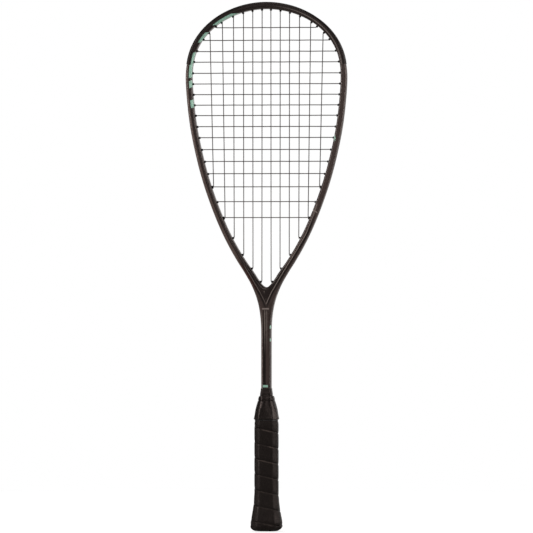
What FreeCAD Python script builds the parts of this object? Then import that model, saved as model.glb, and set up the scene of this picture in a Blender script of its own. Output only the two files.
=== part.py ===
import FreeCAD, Part
import os
import math
from FreeCAD import Vector

# ---------------------------------------------------------------------------
# Squash racket, standing on its butt end.
# Frame: +Z runs up the shaft to the top of the head, X runs across the face
# (left is -X), Y is the depth through the string bed (front is -Y, back is +Y).
# Origin: centre of the flat end of the butt cap.  Millimetres throughout.
# "Outline parameter" means a place on the outline curve; it grows from the
# foot of the left side, over the head, to the foot of the right side.
# ---------------------------------------------------------------------------

# Beam
LENGTH = 686.0            # butt end to top of the head
BEAM_DEPTH = 19.0         # along Y
HALF_DEPTH = BEAM_DEPTH / 2.0
BEAM_FILLET = 3.2         # rounding of the long edges
WALL = 1.1                # laminate thickness
CAVITY_FILLET = 2.2       # rounding of the hollow's long edges
SHAFT_HALF = 6.35         # half width of the shaft (X)
SHAFT_BOTTOM_Z = 8.0
WEB_HALF = 1.0            # half thickness of the web in the middle of the shaft
FIT = 0.05                # clearance between bonded or pressed pieces

# Head guard
GUARD_RECESS = 1.6        # how far the beam is set back under the guard
GUARD_FLANGE = 0.65       # guard thickness over the front and back of the beam
GUARD_REACH = 4.3         # how far the guard wraps over the front and back
GUARD_END_Z = 605.5       # height of the guard's two ends
RECESS_START_Z = GUARD_END_Z - 20.5
RECESS_RISE = 55.0        # height over which the set-back grows to its full depth

# String groove and the strips in it
GROOVE_HALF = 2.8         # half width (Y)
GROOVE_DEPTH = 2.1
GROOVE_END_Z = 307.5      # where the groove runs out on the throat legs
GROOVE_WALL = 1.2         # laminate left round the groove
STRIP_HALF = GROOVE_HALF - 0.1
STRIP_FLOOR = 1.45        # depth of the strip's floor
STRIP_BACK = GROOVE_DEPTH - FIT
SIDE_STRIP_Z = (GUARD_END_Z - 0.6, 395.0)        # top, foot
THROAT_STRIP_Z = (379.5, GROOVE_END_Z + 0.8)

# Grommet barrels
BARREL_R, BARREL_BORE = 1.45, 0.88
SHARED_R, SHARED_BORE = 2.05, 1.62   # barrels that carry two strings
BARREL_CLEAR = 0.08
BARREL_START = STRIP_FLOOR + 0.3     # depth of the barrel's outer end
BARREL_ROUND = 0.25                  # rounding of the inner tip
NUB = 2.0                 # how far a barrel stands out of the opening's wall
OVERRUN = 6.0             # how far cutting tools run past a surface

# Strings
STRING_R = 0.6
LEAD = 0.45               # a string turns this far beyond the tip of its barrel
LOOP_LEVEL = 0.70         # string centre below the beam surface in the groove
LOOP_Y = 1.35             # mains lie at +Y, crosses at -Y in the groove
TAIL_Y = 0.95             # the same for the tied ends
SHARED_Y = 0.78           # the same inside a shared barrel
WEAVE = 1.5               # offset in Y of a cross string's corner at each main
MAIN_MARGIN = 2.0         # a main is woven only this far inside its two ends
EDGE_MARGIN = 1.2         # crosses skip mains nearer than this to their ends
HOLE_BEND, BED_BEND, LOOP_BEND = 1.0, 6.0, 2.5   # bend radii

# Right half of the racket's outline (x, z), top to bottom
OUTLINE = [
    (0.0, LENGTH), (25.06, 683.30), (48.90, 675.52), (70.24, 662.77),
    (87.67, 645.29), (99.55, 623.56), (104.50, 599.04), (104.38, 575.41),
    (102.77, 555.13), (100.88, 537.78), (98.66, 522.40), (96.10, 508.36),
    (93.33, 495.19), (90.40, 482.46), (87.22, 469.76), (83.58, 456.75),
    (79.29, 443.05), (74.16, 428.21), (67.89, 411.56), (62.08, 397.47),
    (56.20, 384.47), (50.60, 373.17), (44.90, 362.59), (39.32, 352.98),
    (34.11, 344.54), (29.50, 337.33), (25.11, 330.00), (20.80, 322.40),
    (17.30, 315.10), (14.45, 308.20), (12.10, 301.50), (10.20, 294.60),
    (8.75, 287.60), (7.70, 280.60), (6.95, 273.00), (6.52, 266.00),
    (6.38, 259.00),
] + [(SHAFT_HALF, z) for z in (252.0, 244.0, 220.0, 170.0, 120.0, 70.0, 20.0, 0.0)]
# Beam thickness in the plane of the face (outline z, thickness)
THICKNESS = [
    (690.0, 9.0), (670.0, 8.8), (640.0, 8.4), (600.0, 8.1), (540.0, 8.1),
    (480.0, 8.3), (430.0, 8.4), (390.0, 8.5), (360.0, 8.8), (340.0, 9.2)]
# Foot of the opening, right half (x, z), and the heights where it joins the sides
CROTCH = [(14.70, 332.60), (11.60, 327.60), (8.70, 323.50), (6.20, 320.20),
          (3.90, 317.90), (0.0, 316.20)]
CROTCH_JOIN_Z = 342.5
CROTCH_LEAD_Z = 348.0     # the foot's curve starts up here, to join smoothly
PLAIN_WALL_Z = 350.0      # above this the wall follows THICKNESS alone

# String pattern
MAINS = [(5.7, 6.0), (17.9, 17.6), (30.0, 29.6), (43.0, 42.0), (57.5, 56.1),
         (73.6, 70.4)]    # right half: x at the head, x at the throat
CROSSES = [652.9, 636.5, 622.1, 608.3, 593.9, 580.0, 566.2, 552.5, 539.0,
           524.6, 510.3, 494.8, 479.4, 463.5, 446.4, 427.2, 406.5]    # z
SHARED_MAINS = {4: 16, 5: 14}   # main -> the cross whose hole its foot shares


# ---------------------------------------------------------------------------
# Numbers and curves
# ---------------------------------------------------------------------------
def lerp(table, key):
    """Linear look-up in a table of (key, value), clamped at both ends."""
    rows = sorted(table)
    if key <= rows[0][0]:
        return rows[0][1]
    for (low, low_value), (high, high_value) in zip(rows, rows[1:]):
        if key <= high:
            return low_value + (high_value - low_value) * (key - low) / (high - low)
    return rows[-1][1]


def samples(start, end, count):
    return [start + (end - start) * i / (count - 1.0) for i in range(count)]


def bisect(function, start, end):
    """Where the function changes sign between start and end."""
    positive = function(start) > 0
    for _ in range(60):
        middle = 0.5 * (start + end)
        if (function(middle) > 0) == positive:
            start = middle
        else:
            end = middle
    return 0.5 * (start + end)


def at_y(point, y):
    return Vector(point.x, y, point.z)


def line(start, end):
    return Part.LineSegment(start, end).toShape()


def outward(shape):
    """Turns a solid the right way out."""
    if shape.Volume < 0:
        shape.reverse()
    return shape


def through(points, periodic=False, span=9):
    """Smooth curve through the points, as a chain of edges of about span points."""
    curve = Part.BSplineCurve()
    curve.interpolate(Points=points, PeriodicFlag=periodic)
    knots = curve.getKnots()
    last = len(knots) - 1
    stops = list(range(0, last, span))
    if last - stops[-1] < span // 2 and len(stops) > 1:
        stops.pop()
    stops.append(last)
    return [curve.toShape(knots[i], knots[j]) for i, j in zip(stops, stops[1:])]


right_points = [Vector(x, 0, z) for x, z in OUTLINE]
left_points = [Vector(-p.x, 0, p.z) for p in right_points[:0:-1]]
outline = Part.BSplineCurve()
outline.interpolate(Points=left_points + right_points)
T_START, T_END = outline.FirstParameter, outline.LastParameter
T_TOP = outline.parameter(Vector(0, 0, LENGTH))


def frame_at(t):
    """Point on the outline and its outward normal."""
    along = outline.tangent(t)[0]
    return outline.value(t), Vector(-along.z, 0, along.x).normalize()


def find_t(z, side):
    """Outline parameter at height z on one side (-1 left, +1 right)."""
    start, end = (T_START, T_TOP) if side < 0 else (T_TOP, T_END)
    return bisect(lambda t: outline.value(t).z - z, start, end)


def both_sides(z):
    return find_t(z, -1), find_t(z, 1)


def recess(z):
    """Set-back of the beam under the head guard, eased in with height."""
    rise = max(0.0, min(1.0, (z - RECESS_START_Z) / RECESS_RISE))
    return GUARD_RECESS * rise * rise * (3.0 - 2.0 * rise)


def skin(t, depth):
    """Point at a depth below the beam's own outer surface."""
    point, normal = frame_at(t)
    return point - normal * (recess(point.z) + depth)


def outer(t, depth):
    """Point at a depth below the overall outline."""
    point, normal = frame_at(t)
    return point - normal * depth


def inner(t, grow=0.0):
    """Point on the opening's side wall, moved into the beam by grow."""
    point, normal = frame_at(t)
    return point - normal * (lerp(THICKNESS, point.z) - grow)


def walk(t, distance):
    """Outline parameter a signed distance further along the outline."""
    step = math.copysign((T_END - T_START) * 2e-5, distance)
    point, walked = outline.value(t), 0.0
    while walked < abs(distance):
        t += step
        following = outline.value(t)
        walked += (following - point).Length
        point = following
    return t


def crotch_curve():
    """Foot of the opening, right to left, and its parameters at the two joins."""
    join_left, join_right = [inner(t) for t in both_sides(CROTCH_JOIN_Z)]
    lead_left, lead_right = [inner(t) for t in both_sides(CROTCH_LEAD_Z)]
    foot = [Vector(x, 0, z) for x, z in CROTCH]
    foot += [Vector(-p.x, 0, p.z) for p in foot[-2::-1]]
    curve = Part.BSplineCurve()
    curve.interpolate(Points=[lead_right, join_right] + foot + [join_left, lead_left])
    return curve, curve.parameter(join_right), curve.parameter(join_left)


crotch, CROTCH_START, CROTCH_END = crotch_curve()


def opening_half_widths():
    """(z, half width) of the opening near its foot."""
    half = samples(CROTCH_START, 0.5 * (CROTCH_START + CROTCH_END), 201)
    points = [crotch.value(t) for t in half]
    points += [inner(find_t(z, 1)) for z in samples(343.5, 372.0, 58)]
    return sorted((p.z, abs(p.x)) for p in points)


FOOT_WIDTHS = opening_half_widths()


def wall_depth(t):
    """Depth of the opening's wall below the outline, along the outline's normal."""
    point, normal = frame_at(t)
    if point.z > PLAIN_WALL_Z:
        return lerp(THICKNESS, point.z)

    def in_opening(depth):
        spot = point - normal * depth
        inside = spot.z > FOOT_WIDTHS[0][0] and abs(spot.x) < lerp(FOOT_WIDTHS, spot.z)
        return 1 if inside else -1

    return bisect(in_opening, 4.0, 24.0)


def mouth(t, beyond):
    """Point on a hole's axis, this far beyond the wall into the opening."""
    point, normal = frame_at(t)
    return point - normal * (wall_depth(t) + beyond)


# ---------------------------------------------------------------------------
# Wires and solids that follow the outline
# ---------------------------------------------------------------------------
def rounded(wire_at, half_y, radius, steps=5):
    """Solid with rounded long edges: wire_at(inset) is its outline moved by inset."""
    rows = []
    for i in range(steps + 1):
        angle = math.pi / 2 * (steps - i) / steps
        rows.append((-(half_y - radius) - radius * math.sin(angle),
                     radius * (1.0 - math.cos(angle))))
    rows += [(-y, inset) for y, inset in rows[::-1]]
    wires = []
    for y, inset in rows:
        wire = wire_at(inset)
        wire.translate(Vector(0, y, 0))
        wires.append(wire)
    return outward(Part.makeLoft(wires, True, True))


def band_wire(place, t0, t1, depth0, depth1, count):
    """Closed strip between two depths; place is skin or outer."""
    params = samples(t0, t1, count)
    near = [place(t, depth0) for t in params]
    far = [place(t, depth1) for t in params]
    return Part.Wire(through(near) + [line(near[-1], far[-1])]
                     + through(far[::-1]) + [line(far[0], near[0])])


def band(ends, depth0, depth1, half_y, count):
    """Solid between two depths below the beam surface."""
    face = Part.Face(band_wire(skin, ends[0], ends[1], depth0, depth1, count))
    face.translate(Vector(0, -half_y, 0))
    return outward(face.extrude(Vector(0, 2 * half_y, 0)))


def hairpin_wire(depth):
    """Silhouette of the beam at a depth below its surface."""
    points = [skin(t, depth) for t in samples(T_START, T_END, 115)]
    return Part.Wire(through(points) + [line(points[-1], points[0])])


def opening_wire(grow):
    """Outline of the strung opening, grown outward."""
    left, right = both_sides(CROTCH_JOIN_Z)
    points = [inner(t, grow) for t in samples(left, right, 72)]
    for t in samples(CROTCH_START, CROTCH_END, 26)[1:-1]:
        along = crotch.tangent(t)[0]
        points.append(crotch.value(t) + Vector(-along.z, 0, along.x).normalize() * grow)
    return Part.Wire(through(points, True))


# ---------------------------------------------------------------------------
# String holes, as outline parameters
# ---------------------------------------------------------------------------
def turn(t):
    """Where the string bends from its hole's axis into the bed."""
    return mouth(t, NUB + LEAD)


def head_hole(x, side):
    """Hole whose string leaves it at |x| on the top of the head."""
    return bisect(lambda t: turn(t).x - side * x, T_TOP, find_t(600.0, side))


def foot_hole(x, side):
    """Hole whose string leaves it at |x| on the limbs below the bed."""
    return bisect(lambda t: turn(t).x - side * x, find_t(309.5, side), find_t(440.0, side))


def side_hole(z, side):
    """Hole whose string leaves it at height z on one side of the head."""
    return bisect(lambda t: turn(t).z - z, find_t(316.0, side), find_t(668.0, side))


cross_left = [side_hole(z, -1) for z in CROSSES]
cross_right = [side_hole(z, 1) for z in CROSSES]
main_top, main_foot = [], []             # left to right
for side, i in [(-1, i) for i in reversed(range(6))] + [(1, i) for i in range(6)]:
    head_x, foot_x = MAINS[i]
    main_top.append(head_hole(head_x, side))
    if i in SHARED_MAINS:
        main_foot.append(side_hole(CROSSES[SHARED_MAINS[i]], side))
    else:
        main_foot.append(foot_hole(foot_x, side))

# rounding makes holes found twice one and the same
shared = {round(row[i], 6) for i in SHARED_MAINS.values() for row in (cross_left, cross_right)}
all_holes = sorted({round(t, 6) for t in main_top + main_foot + cross_left + cross_right})


def rod(t, radius, depth, beyond):
    """Cylinder on a hole's axis, from a depth below the skin to beyond the wall."""
    start = skin(t, depth)
    axis = mouth(t, beyond) - start
    return Part.makeCylinder(radius, axis.Length, start, axis)


def barrel_radius(t):
    return SHARED_R if t in shared else BARREL_R


def barrels(holes):
    """Grommet barrels, still solid, with rounded inner tips."""
    out = []
    for t in holes:
        barrel = rod(t, barrel_radius(t), BARREL_START, NUB)
        tip = mouth(t, NUB)
        rim = [e for e in barrel.Edges if e.Closed and (e.CenterOfMass - tip).Length < 0.05]
        try:
            barrel = barrel.makeFillet(BARREL_ROUND, rim)
        except Exception:
            pass              # a rim that cannot be rounded stays sharp
        out.append(barrel)
    return out


def bores(holes):
    return Part.makeCompound([
        rod(t, SHARED_BORE if t in shared else BARREL_BORE, -OVERRUN, OVERRUN) for t in holes])


# ---------------------------------------------------------------------------
# Carbon frame: one hollow tube, head + open throat + shaft
# ---------------------------------------------------------------------------
def make_frame():
    body = rounded(hairpin_wire, HALF_DEPTH, BEAM_FILLET)
    body = body.cut(rounded(opening_wire, HALF_DEPTH, BEAM_FILLET))

    half_y = HALF_DEPTH - WALL
    cavity = rounded(lambda d: hairpin_wire(WALL + d), half_y, CAVITY_FILLET, 3)
    cavity = cavity.cut(rounded(lambda d: opening_wire(WALL + d), half_y, CAVITY_FILLET, 3))
    # web between the two halves of the tube in the shaft
    cavity = cavity.cut(Part.makeBox(2 * WEB_HALF, 40, 330, Vector(-WEB_HALF, -20, -14)))
    # laminate round the groove
    cavity = cavity.cut(band(both_sides(GROOVE_END_Z - 3), 0.6, GROOVE_DEPTH + GROOVE_WALL,
                             GROOVE_HALF + GROOVE_WALL, 91))
    frame = body.cut(cavity)
    frame = frame.cut(Part.makeBox(40, 40, SHAFT_BOTTOM_Z + 10.0, Vector(-20, -20, -10.0)))
    frame = frame.cut(band(both_sides(GROOVE_END_Z), -3.0, GROOVE_DEPTH, GROOVE_HALF, 91))
    drills = [rod(t, barrel_radius(t) + BARREL_CLEAR, -OVERRUN, OVERRUN) for t in all_holes]
    return frame.cut(Part.makeCompound(drills)).Solids[0]


# ---------------------------------------------------------------------------
# Head guard: wraps the outer part of the beam and carries barrels
# ---------------------------------------------------------------------------
def make_guard():
    ends = both_sides(GUARD_END_Z)
    holes = [t for t in all_holes if ends[0] < t < ends[1]]
    guard = rounded(lambda d: band_wire(outer, *ends, d, GUARD_RECESS + GUARD_REACH, 55),
                    HALF_DEPTH + GUARD_FLANGE, BEAM_FILLET + 0.5)
    beam_ends = both_sides(590.0)
    beam = rounded(lambda d: band_wire(skin, *beam_ends, -FIT + d, 14.0, 61),
                   HALF_DEPTH + FIT, BEAM_FILLET + FIT)
    guard = guard.cut(beam)
    rib = band(ends, -0.6, STRIP_BACK, STRIP_HALF, 55)
    guard = guard.fuse(rib)
    guard = guard.fuse(barrels(holes))
    # channel for the strings
    guard = guard.cut(band(both_sides(600.0), -OVERRUN, STRIP_FLOOR, GROOVE_HALF - 0.7, 55))
    return guard.cut(bores(holes)).Solids[0]


# ---------------------------------------------------------------------------
# Grommet strips in the groove
# ---------------------------------------------------------------------------
def make_strip(heights, side):
    ends = sorted(find_t(z, side) for z in heights)
    holes = [t for t in all_holes if ends[0] < t < ends[1]]
    strip = band(ends, STRIP_FLOOR, STRIP_BACK, STRIP_HALF, 43)
    strip = strip.fuse(barrels(holes))
    return strip.cut(bores(holes)).Solids[0]


# ---------------------------------------------------------------------------
# Bent paths: strings and staples
# ---------------------------------------------------------------------------
def corner_arc(before, corner, after, radius):
    """Start, middle and end of the arc that rounds a corner."""
    back, ahead = before - corner, after - corner
    room = 0.49 * min(back.Length, ahead.Length)
    back.normalize()
    ahead.normalize()
    half_angle = back.getAngle(ahead) / 2
    setback = radius / math.tan(half_angle)
    if setback > room:
        setback = room
        radius = setback * math.tan(half_angle)
    inward = (back + ahead).normalize()
    centre = corner + inward * (radius / math.sin(half_angle))
    return corner + back * setback, centre - inward * radius, corner + ahead * setback


def sweep(corners, radius):
    """Round wire through corners (point, bend radius)."""
    points = [point for point, bend in corners]
    edges, previous = [], points[0]
    for i in range(1, len(points) - 1):
        before, corner, after = points[i - 1:i + 2]
        if math.pi - (before - corner).getAngle(after - corner) < 1e-3:
            continue              # straight on
        start, middle, end = corner_arc(before, corner, after, corners[i][1])
        if (start - previous).Length > 1e-4:
            edges.append(line(previous, start))
        edges.append(Part.Arc(start, middle, end).toShape())
        previous = end
    edges.append(line(previous, points[-1]))
    direction = (points[1] - points[0]).normalize()
    pipe = Part.BRepOffsetAPI.MakePipeShell(Part.Wire(edges))
    pipe.setFrenetMode(False)
    pipe.add(Part.Wire(Part.Circle(points[0], direction, radius).toShape()))
    pipe.build()
    pipe.makeSolid()
    return pipe.shape()


def knot(end, towards):
    """Stopper knot at a string's end, pressed flat towards the groove's floor."""
    ball = Part.makeSphere(1.0, Vector(0, 0, 0), Vector(1, 0, 0))
    shape = ball.fuse(Part.makeTorus(0.72, 0.36, Vector(0, 0, 0), Vector(1, 0, 0)))
    flatten = FreeCAD.Matrix()
    flatten.scale(1.0, 1.0, 0.62)
    shape = shape.transformGeometry(flatten)
    axis = (towards - end).normalize()
    side = Vector(0, 1, 0)
    x = (axis - side * axis.dot(side)).normalize()
    z = x.cross(side)
    return shape.transformGeometry(FreeCAD.Matrix(
        x.x, 0, z.x, end.x,
        x.y, 1, z.y, end.y,
        x.z, 0, z.z, end.z,
        0, 0, 0, 1))


def hole_y(t, y_sign):
    return y_sign * SHARED_Y if round(t, 6) in shared else 0.0


def groove_run(t0, t1, y):
    """Points of a string lying in the groove between two holes."""
    span = (skin(t1, LOOP_LEVEL) - skin(t0, LOOP_LEVEL)).Length
    params = samples(t0, t1, max(4, int(span / 5.0) + 3))
    return [at_y(skin(t, LOOP_LEVEL), y) for t in params[1:-1]]


def make_string(runs, woven, y_sign, first_tail, last_tail):
    """One continuous string, knotted at both ends.

    runs: (hole in, hole out) of each pass over the bed; woven(i): its points there;
    y_sign: its side of the groove; tails: signed lengths along the outline.
    """
    def tail(t, length):
        return at_y(skin(walk(t, length), LOOP_LEVEL), y_sign * TAIL_Y), 0.0

    corners = [tail(runs[0][0], first_tail)]
    for i, (enter, leave) in enumerate(runs):
        if i > 0:
            loop = groove_run(runs[i - 1][1], enter, y_sign * LOOP_Y)
            corners += [(point, LOOP_BEND) for point in loop]
        y = hole_y(enter, y_sign)
        corners += [(at_y(skin(enter, LOOP_LEVEL), y), HOLE_BEND),
                    (at_y(turn(enter), y), HOLE_BEND)]
        corners += [(point, BED_BEND) for point in woven(i)]
        y = hole_y(leave, y_sign)
        corners += [(at_y(turn(leave), y), HOLE_BEND),
                    (at_y(skin(leave, LOOP_LEVEL), y), HOLE_BEND)]
    corners.append(tail(runs[-1][1], last_tail))
    points = [point for point, bend in corners]
    return sweep(corners, STRING_R).fuse([knot(points[0], points[1]),
                                          knot(points[-1], points[-2])])


def back_and_forth(starts, ends):
    """Passes that alternate in direction."""
    pairs = enumerate(zip(starts, ends))
    return [pair if i % 2 == 0 else pair[::-1] for i, pair in pairs]


def main_at(i, z):
    """Point of a main at height z, or None off its ends."""
    top, foot = [at_y(turn(t), hole_y(t, 1.0)) for t in (main_top[i], main_foot[i])]
    if z > top.z - MAIN_MARGIN or z < foot.z + MAIN_MARGIN:
        return None
    return top + (foot - top) * ((z - top.z) / (foot.z - top.z))


cross_runs = back_and_forth(cross_left, cross_right)


def weave(j):
    """Points of a cross string, in front of and behind the mains in turn."""
    start = turn(cross_runs[j][0])
    points = []
    for i in range(len(main_top)):
        main = main_at(i, CROSSES[j])
        if main is None or abs(main.x) > abs(start.x) - EDGE_MARGIN:
            continue
        offset = WEAVE if (i + j) % 2 == 0 else -WEAVE
        points.append(Vector(main.x, main.y + offset, CROSSES[j]))
    points.sort(key=lambda p: p.x)
    return points if start.x < 0 else points[::-1]


def make_main_string():
    return make_string(back_and_forth(main_top, main_foot), lambda i: [], 1.0, 4.0, -4.0)


def make_cross_string():
    return make_string(cross_runs, weave, -1.0, 4.0, 5.0)


# ---------------------------------------------------------------------------
# Handle: lofts of eight-sided sections, tables of (z, half width X, half width Y)
# ---------------------------------------------------------------------------
GRIP_THICK = 1.7
GRIP_BOTTOM_Z = 6.5
GRIP_TOP_Z = 148.0
GRIP_STRAIGHT_Z = 138.0   # top of the handle's even part
WRAP_PITCH = 20.2         # rise of the grip tape per turn
WRAP_TURNS = 9
WRAP_FRONT_Z = 131.7      # a seam crosses the middle of the front here
WRAP_GAP = 0.12
# outer surface of the wrapped handle
GRIP = [
    (0.0, 20.0, 18.1), (6.5, 20.25, 18.3), (11.5, 20.45, 18.4), (16.0, 19.75, 17.7),
    (21.0, 18.8, 16.8), (27.0, 17.75, 15.9), (33.0, 16.9, 15.15), (40.0, 16.2, 14.5),
    (50.0, 15.65, 14.05), (138.0, 15.6, 14.0), (141.0, 15.3, 13.75),
    (145.0, 14.3, 13.15), (148.0, 13.85, 12.8)]
# inside of the grip tape, above its even part
TAPE_IN_TOP = [(141.0, 13.55, 12.0), (145.0, 12.85, 11.85), (149.0, 12.3, 11.75)]
PALLET_TOP = [
    (141.0, 13.4, 11.9), (145.0, 12.7, 11.65), (150.0, 11.9, 11.4), (154.0, 11.2, 11.2),
    (158.0, 10.5, 11.0), (162.0, 9.7, 10.8), (166.0, 8.7, 10.6), (170.5, 7.6, 10.4)]
FINISHING_OUT = [(143.6, 14.98, 13.62), (148.2, 14.22, 13.13), (155.0, 12.55, 12.35)]
FINISHING_IN = [(143.5, 14.75, 13.39), (148.2, 13.95, 12.88), (155.1, 12.28, 12.08)]
COLLAR_OUT = [
    (145.0, 15.95, 14.7), (146.5, 15.75, 14.6), (152.0, 15.15, 14.3), (157.0, 14.45, 13.9),
    (162.0, 13.35, 13.4), (166.0, 12.1, 12.9), (169.4, 11.0, 12.45)]
COLLAR_RIM = [(169.4, 10.7, 12.2), (170.2, 10.95, 12.4), (173.6, 10.15, 12.0),
              (175.0, 9.5, 11.6)]
COLLAR_NECK = [(174.6, 8.15, 10.9), (178.0, 7.75, 10.65), (182.0, 7.05, 10.2),
               (185.0, 6.85, 10.0)]
COLLAR_IN = [
    (144.0, 15.2, 13.95), (148.0, 14.45, 13.35), (153.0, 13.3, 12.75), (158.0, 12.1, 12.3),
    (163.0, 10.6, 11.8), (168.0, 9.0, 11.2), (171.5, 7.9, 10.85)]
COLLAR_ROUND = 2.4        # rounding of the collar's corners
NECK_BEVEL = 0.28         # smaller corner cuts leave a wall over the shaft's corners
# rolled lower edge of the butt cap
CAP_FOOT = [(0.0, 12.0, 10.4), (0.35, 14.3, 12.6), (1.1, 16.3, 14.5), (2.4, 18.2, 16.4),
            (4.2, 19.6, 17.7), (6.4, 20.25, 18.3)]
CAP_FLOOR = 2.6
CAP_TOP_Z = 30.0
PALLET_STEP_Z = 33.0      # top of the cap's hollow cutter and of the pallet's foot
CAP_GAP = 0.1             # gap inside and outside the cap's wall
CAP_INSET = GRIP_THICK + CAP_GAP        # cap wall below the wrapped surface
CAP_IN_INSET = CAP_INSET + 1.3          # plus the cap's wall thickness


def octagon(z, half_x, half_y, bevel, radius):
    """Eight-sided wire with rounded corners; bevel is the cut share of each half."""
    cut_x, cut_y = half_x - half_x * bevel, half_y - half_y * bevel
    ring = [(cut_x, -half_y), (half_x, -cut_y), (half_x, cut_y), (cut_x, half_y),
            (-cut_x, half_y), (-half_x, cut_y), (-half_x, -cut_y), (-cut_x, -half_y)]
    corners = [Vector(x, y, z) for x, y in ring]
    arcs = [corner_arc(corners[i - 1], corners[i], corners[(i + 1) % 8], radius)
            for i in range(8)]
    edges = []
    for i, (start, middle, end) in enumerate(arcs):
        edges.append(Part.Arc(start, middle, end).toShape())
        edges.append(line(end, arcs[(i + 1) % 8][0]))
    return Part.Wire(edges)


def loft(rows, radius=1.6, bevel=0.42):
    """Eight-sided solid through the rows."""
    wires = [octagon(z, half_x, half_y, bevel, radius) for z, half_x, half_y in rows]
    return outward(Part.makeLoft(wires, True, True))


def grip_half(z):
    """Half widths X and Y of the wrapped handle at a height."""
    for (z0, x0, y0), (z1, x1, y1) in zip(GRIP, GRIP[1:]):
        if z0 <= z <= z1:
            share = (z - z0) / (z1 - z0)
            return x0 + (x1 - x0) * share, y0 + (y1 - y0) * share


def grip_rows(z0, z1, inset=0.0):
    """Rows of the wrapped handle between two heights, moved inward."""
    rows = [row for row in GRIP if z0 + 0.01 < row[0] < z1 - 0.01]
    rows = [(z0, *grip_half(z0))] + rows + [(z1, *grip_half(z1))]
    return [(z, half_x - inset, half_y - inset) for z, half_x, half_y in rows]


def shaft_bar(grow, z0, z1):
    """Bar with the shaft's section, grown by a clearance."""
    half_x, half_y = SHAFT_HALF + grow, HALF_DEPTH + grow
    bar = Part.makeBox(2 * half_x, 2 * half_y, z1 - z0, Vector(-half_x, -half_y, z0))
    upright = [e for e in bar.Edges if abs(e.BoundBox.ZLength - (z1 - z0)) < 1e-6]
    return bar.makeFillet(BEAM_FILLET + grow, upright)


# Staples through the cap, one in front and one at the back
STAPLE_Z = 20.0
STAPLE_HALF = 4.0         # half width of the crown
STAPLE_LEG = 4.4
STAPLE_R = 0.45
STAPLE_BEND = 0.7
STAPLE_Y = grip_half(STAPLE_Z)[1] - CAP_INSET - 0.55    # crown centre
SLOT_X, SLOT_Y, SLOT_Z = 9.1, 3.0, 1.1                  # sinks the crown in the cap


def staple(side, grow=0.0):
    """Side -1 is the front, +1 the back."""
    crown_y = side * STAPLE_Y
    leg_y = crown_y - side * STAPLE_LEG
    return sweep([(Vector(-STAPLE_HALF, leg_y, STAPLE_Z), 0.0),
                  (Vector(-STAPLE_HALF, crown_y, STAPLE_Z), STAPLE_BEND),
                  (Vector(STAPLE_HALF, crown_y, STAPLE_Z), STAPLE_BEND),
                  (Vector(STAPLE_HALF, leg_y, STAPLE_Z), 0.0)], STAPLE_R + grow)


def slot(side):
    y = STAPLE_Y if side > 0 else -STAPLE_Y - SLOT_Y
    return Part.makeBox(SLOT_X, SLOT_Y, SLOT_Z, Vector(-SLOT_X / 2, y, STAPLE_Z - SLOT_Z / 2))


# Tack through the start of the grip tape, on the back of the handle
TACK_Z = 12.0
TACK_Y = grip_half(TACK_Z)[1] - 0.75      # outer face of the head
TACK_HEAD_R, TACK_HEAD = 1.9, 0.6         # head radius and thickness
TACK_PIN_R, TACK_PIN = 0.5, 5.2           # pin radius and length
TACK_POINT = 1.2                          # length of the point


def tack(grow=0.0):
    def at(y):
        return Vector(0, y, TACK_Z)

    along = Vector(0, 1, 0)
    pin_y = TACK_Y - 0.3 - TACK_PIN
    head = Part.makeCylinder(TACK_HEAD_R + grow, TACK_HEAD + grow,
                             at(TACK_Y - TACK_HEAD - grow), along)
    pin = Part.makeCylinder(TACK_PIN_R + grow, TACK_PIN, at(pin_y), along)
    point = Part.makeCone(0.0, TACK_PIN_R + grow, TACK_POINT, at(pin_y - TACK_POINT), along)
    return head.fuse([pin, point]).removeSplitter()


staple_holes = Part.makeCompound([staple(-1, FIT), staple(1, FIT)])
# the tack's hole, open to the outside
tack_hole = tack(FIT).fuse(Part.makeCylinder(
    TACK_HEAD_R + FIT, 3.0, Vector(0, TACK_Y - 0.01, TACK_Z), Vector(0, 1, 0)))


def make_grip_tape():
    """Sleeve parted by the winding's helical seam."""
    sleeve = loft(grip_rows(GRIP_BOTTOM_Z, GRIP_TOP_Z))
    sleeve = sleeve.cut(loft(grip_rows(0.0, GRIP_STRAIGHT_Z, GRIP_THICK) + TAPE_IN_TOP))
    # the left-hand helix starts on +X; turned to start at the middle of the front
    start_z = WRAP_FRONT_Z - WRAP_PITCH * 7
    helix = Part.makeHelix(WRAP_PITCH, WRAP_PITCH * WRAP_TURNS, 14.0, 0, True)
    helix.rotate(Vector(0, 0, 0), Vector(0, 0, 1), -90.0)
    helix.translate(Vector(0, 0, start_z))
    low, high = start_z - WRAP_GAP / 2, start_z + WRAP_GAP / 2
    loop = [(-9.0, low), (-27.0, low), (-27.0, high), (-9.0, high), (-9.0, low)]
    profile = Part.makePolygon([Vector(0, y, z) for y, z in loop])
    seam = Part.Wire(helix).makePipeShell([profile], True, True)
    return sleeve.cut(seam).cut(tack_hole)


def make_butt_cap():
    """Cup over the foot of the handle."""
    cap = loft(CAP_FOOT).fuse(loft(grip_rows(5.0, CAP_TOP_Z, CAP_INSET)))
    cap = cap.cut(loft(grip_rows(CAP_FLOOR, PALLET_STEP_Z, CAP_IN_INSET)))
    cap = cap.cut(staple_holes).cut(Part.makeCompound([slot(-1), slot(1)]))
    return cap.cut(tack_hole)


def make_pallet():
    """Core over the shaft, its foot stepped to sit in the cap."""
    foot = loft(grip_rows(CAP_FLOOR + CAP_GAP, PALLET_STEP_Z, CAP_IN_INSET + CAP_GAP))
    trunk = loft(grip_rows(CAP_TOP_Z + 0.2, GRIP_STRAIGHT_Z, CAP_INSET) + PALLET_TOP)
    pallet = foot.fuse(trunk).cut(shaft_bar(FIT, SHAFT_BOTTOM_Z - FIT, 180.0))
    return pallet.cut(staple_holes).cut(tack_hole)


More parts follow.
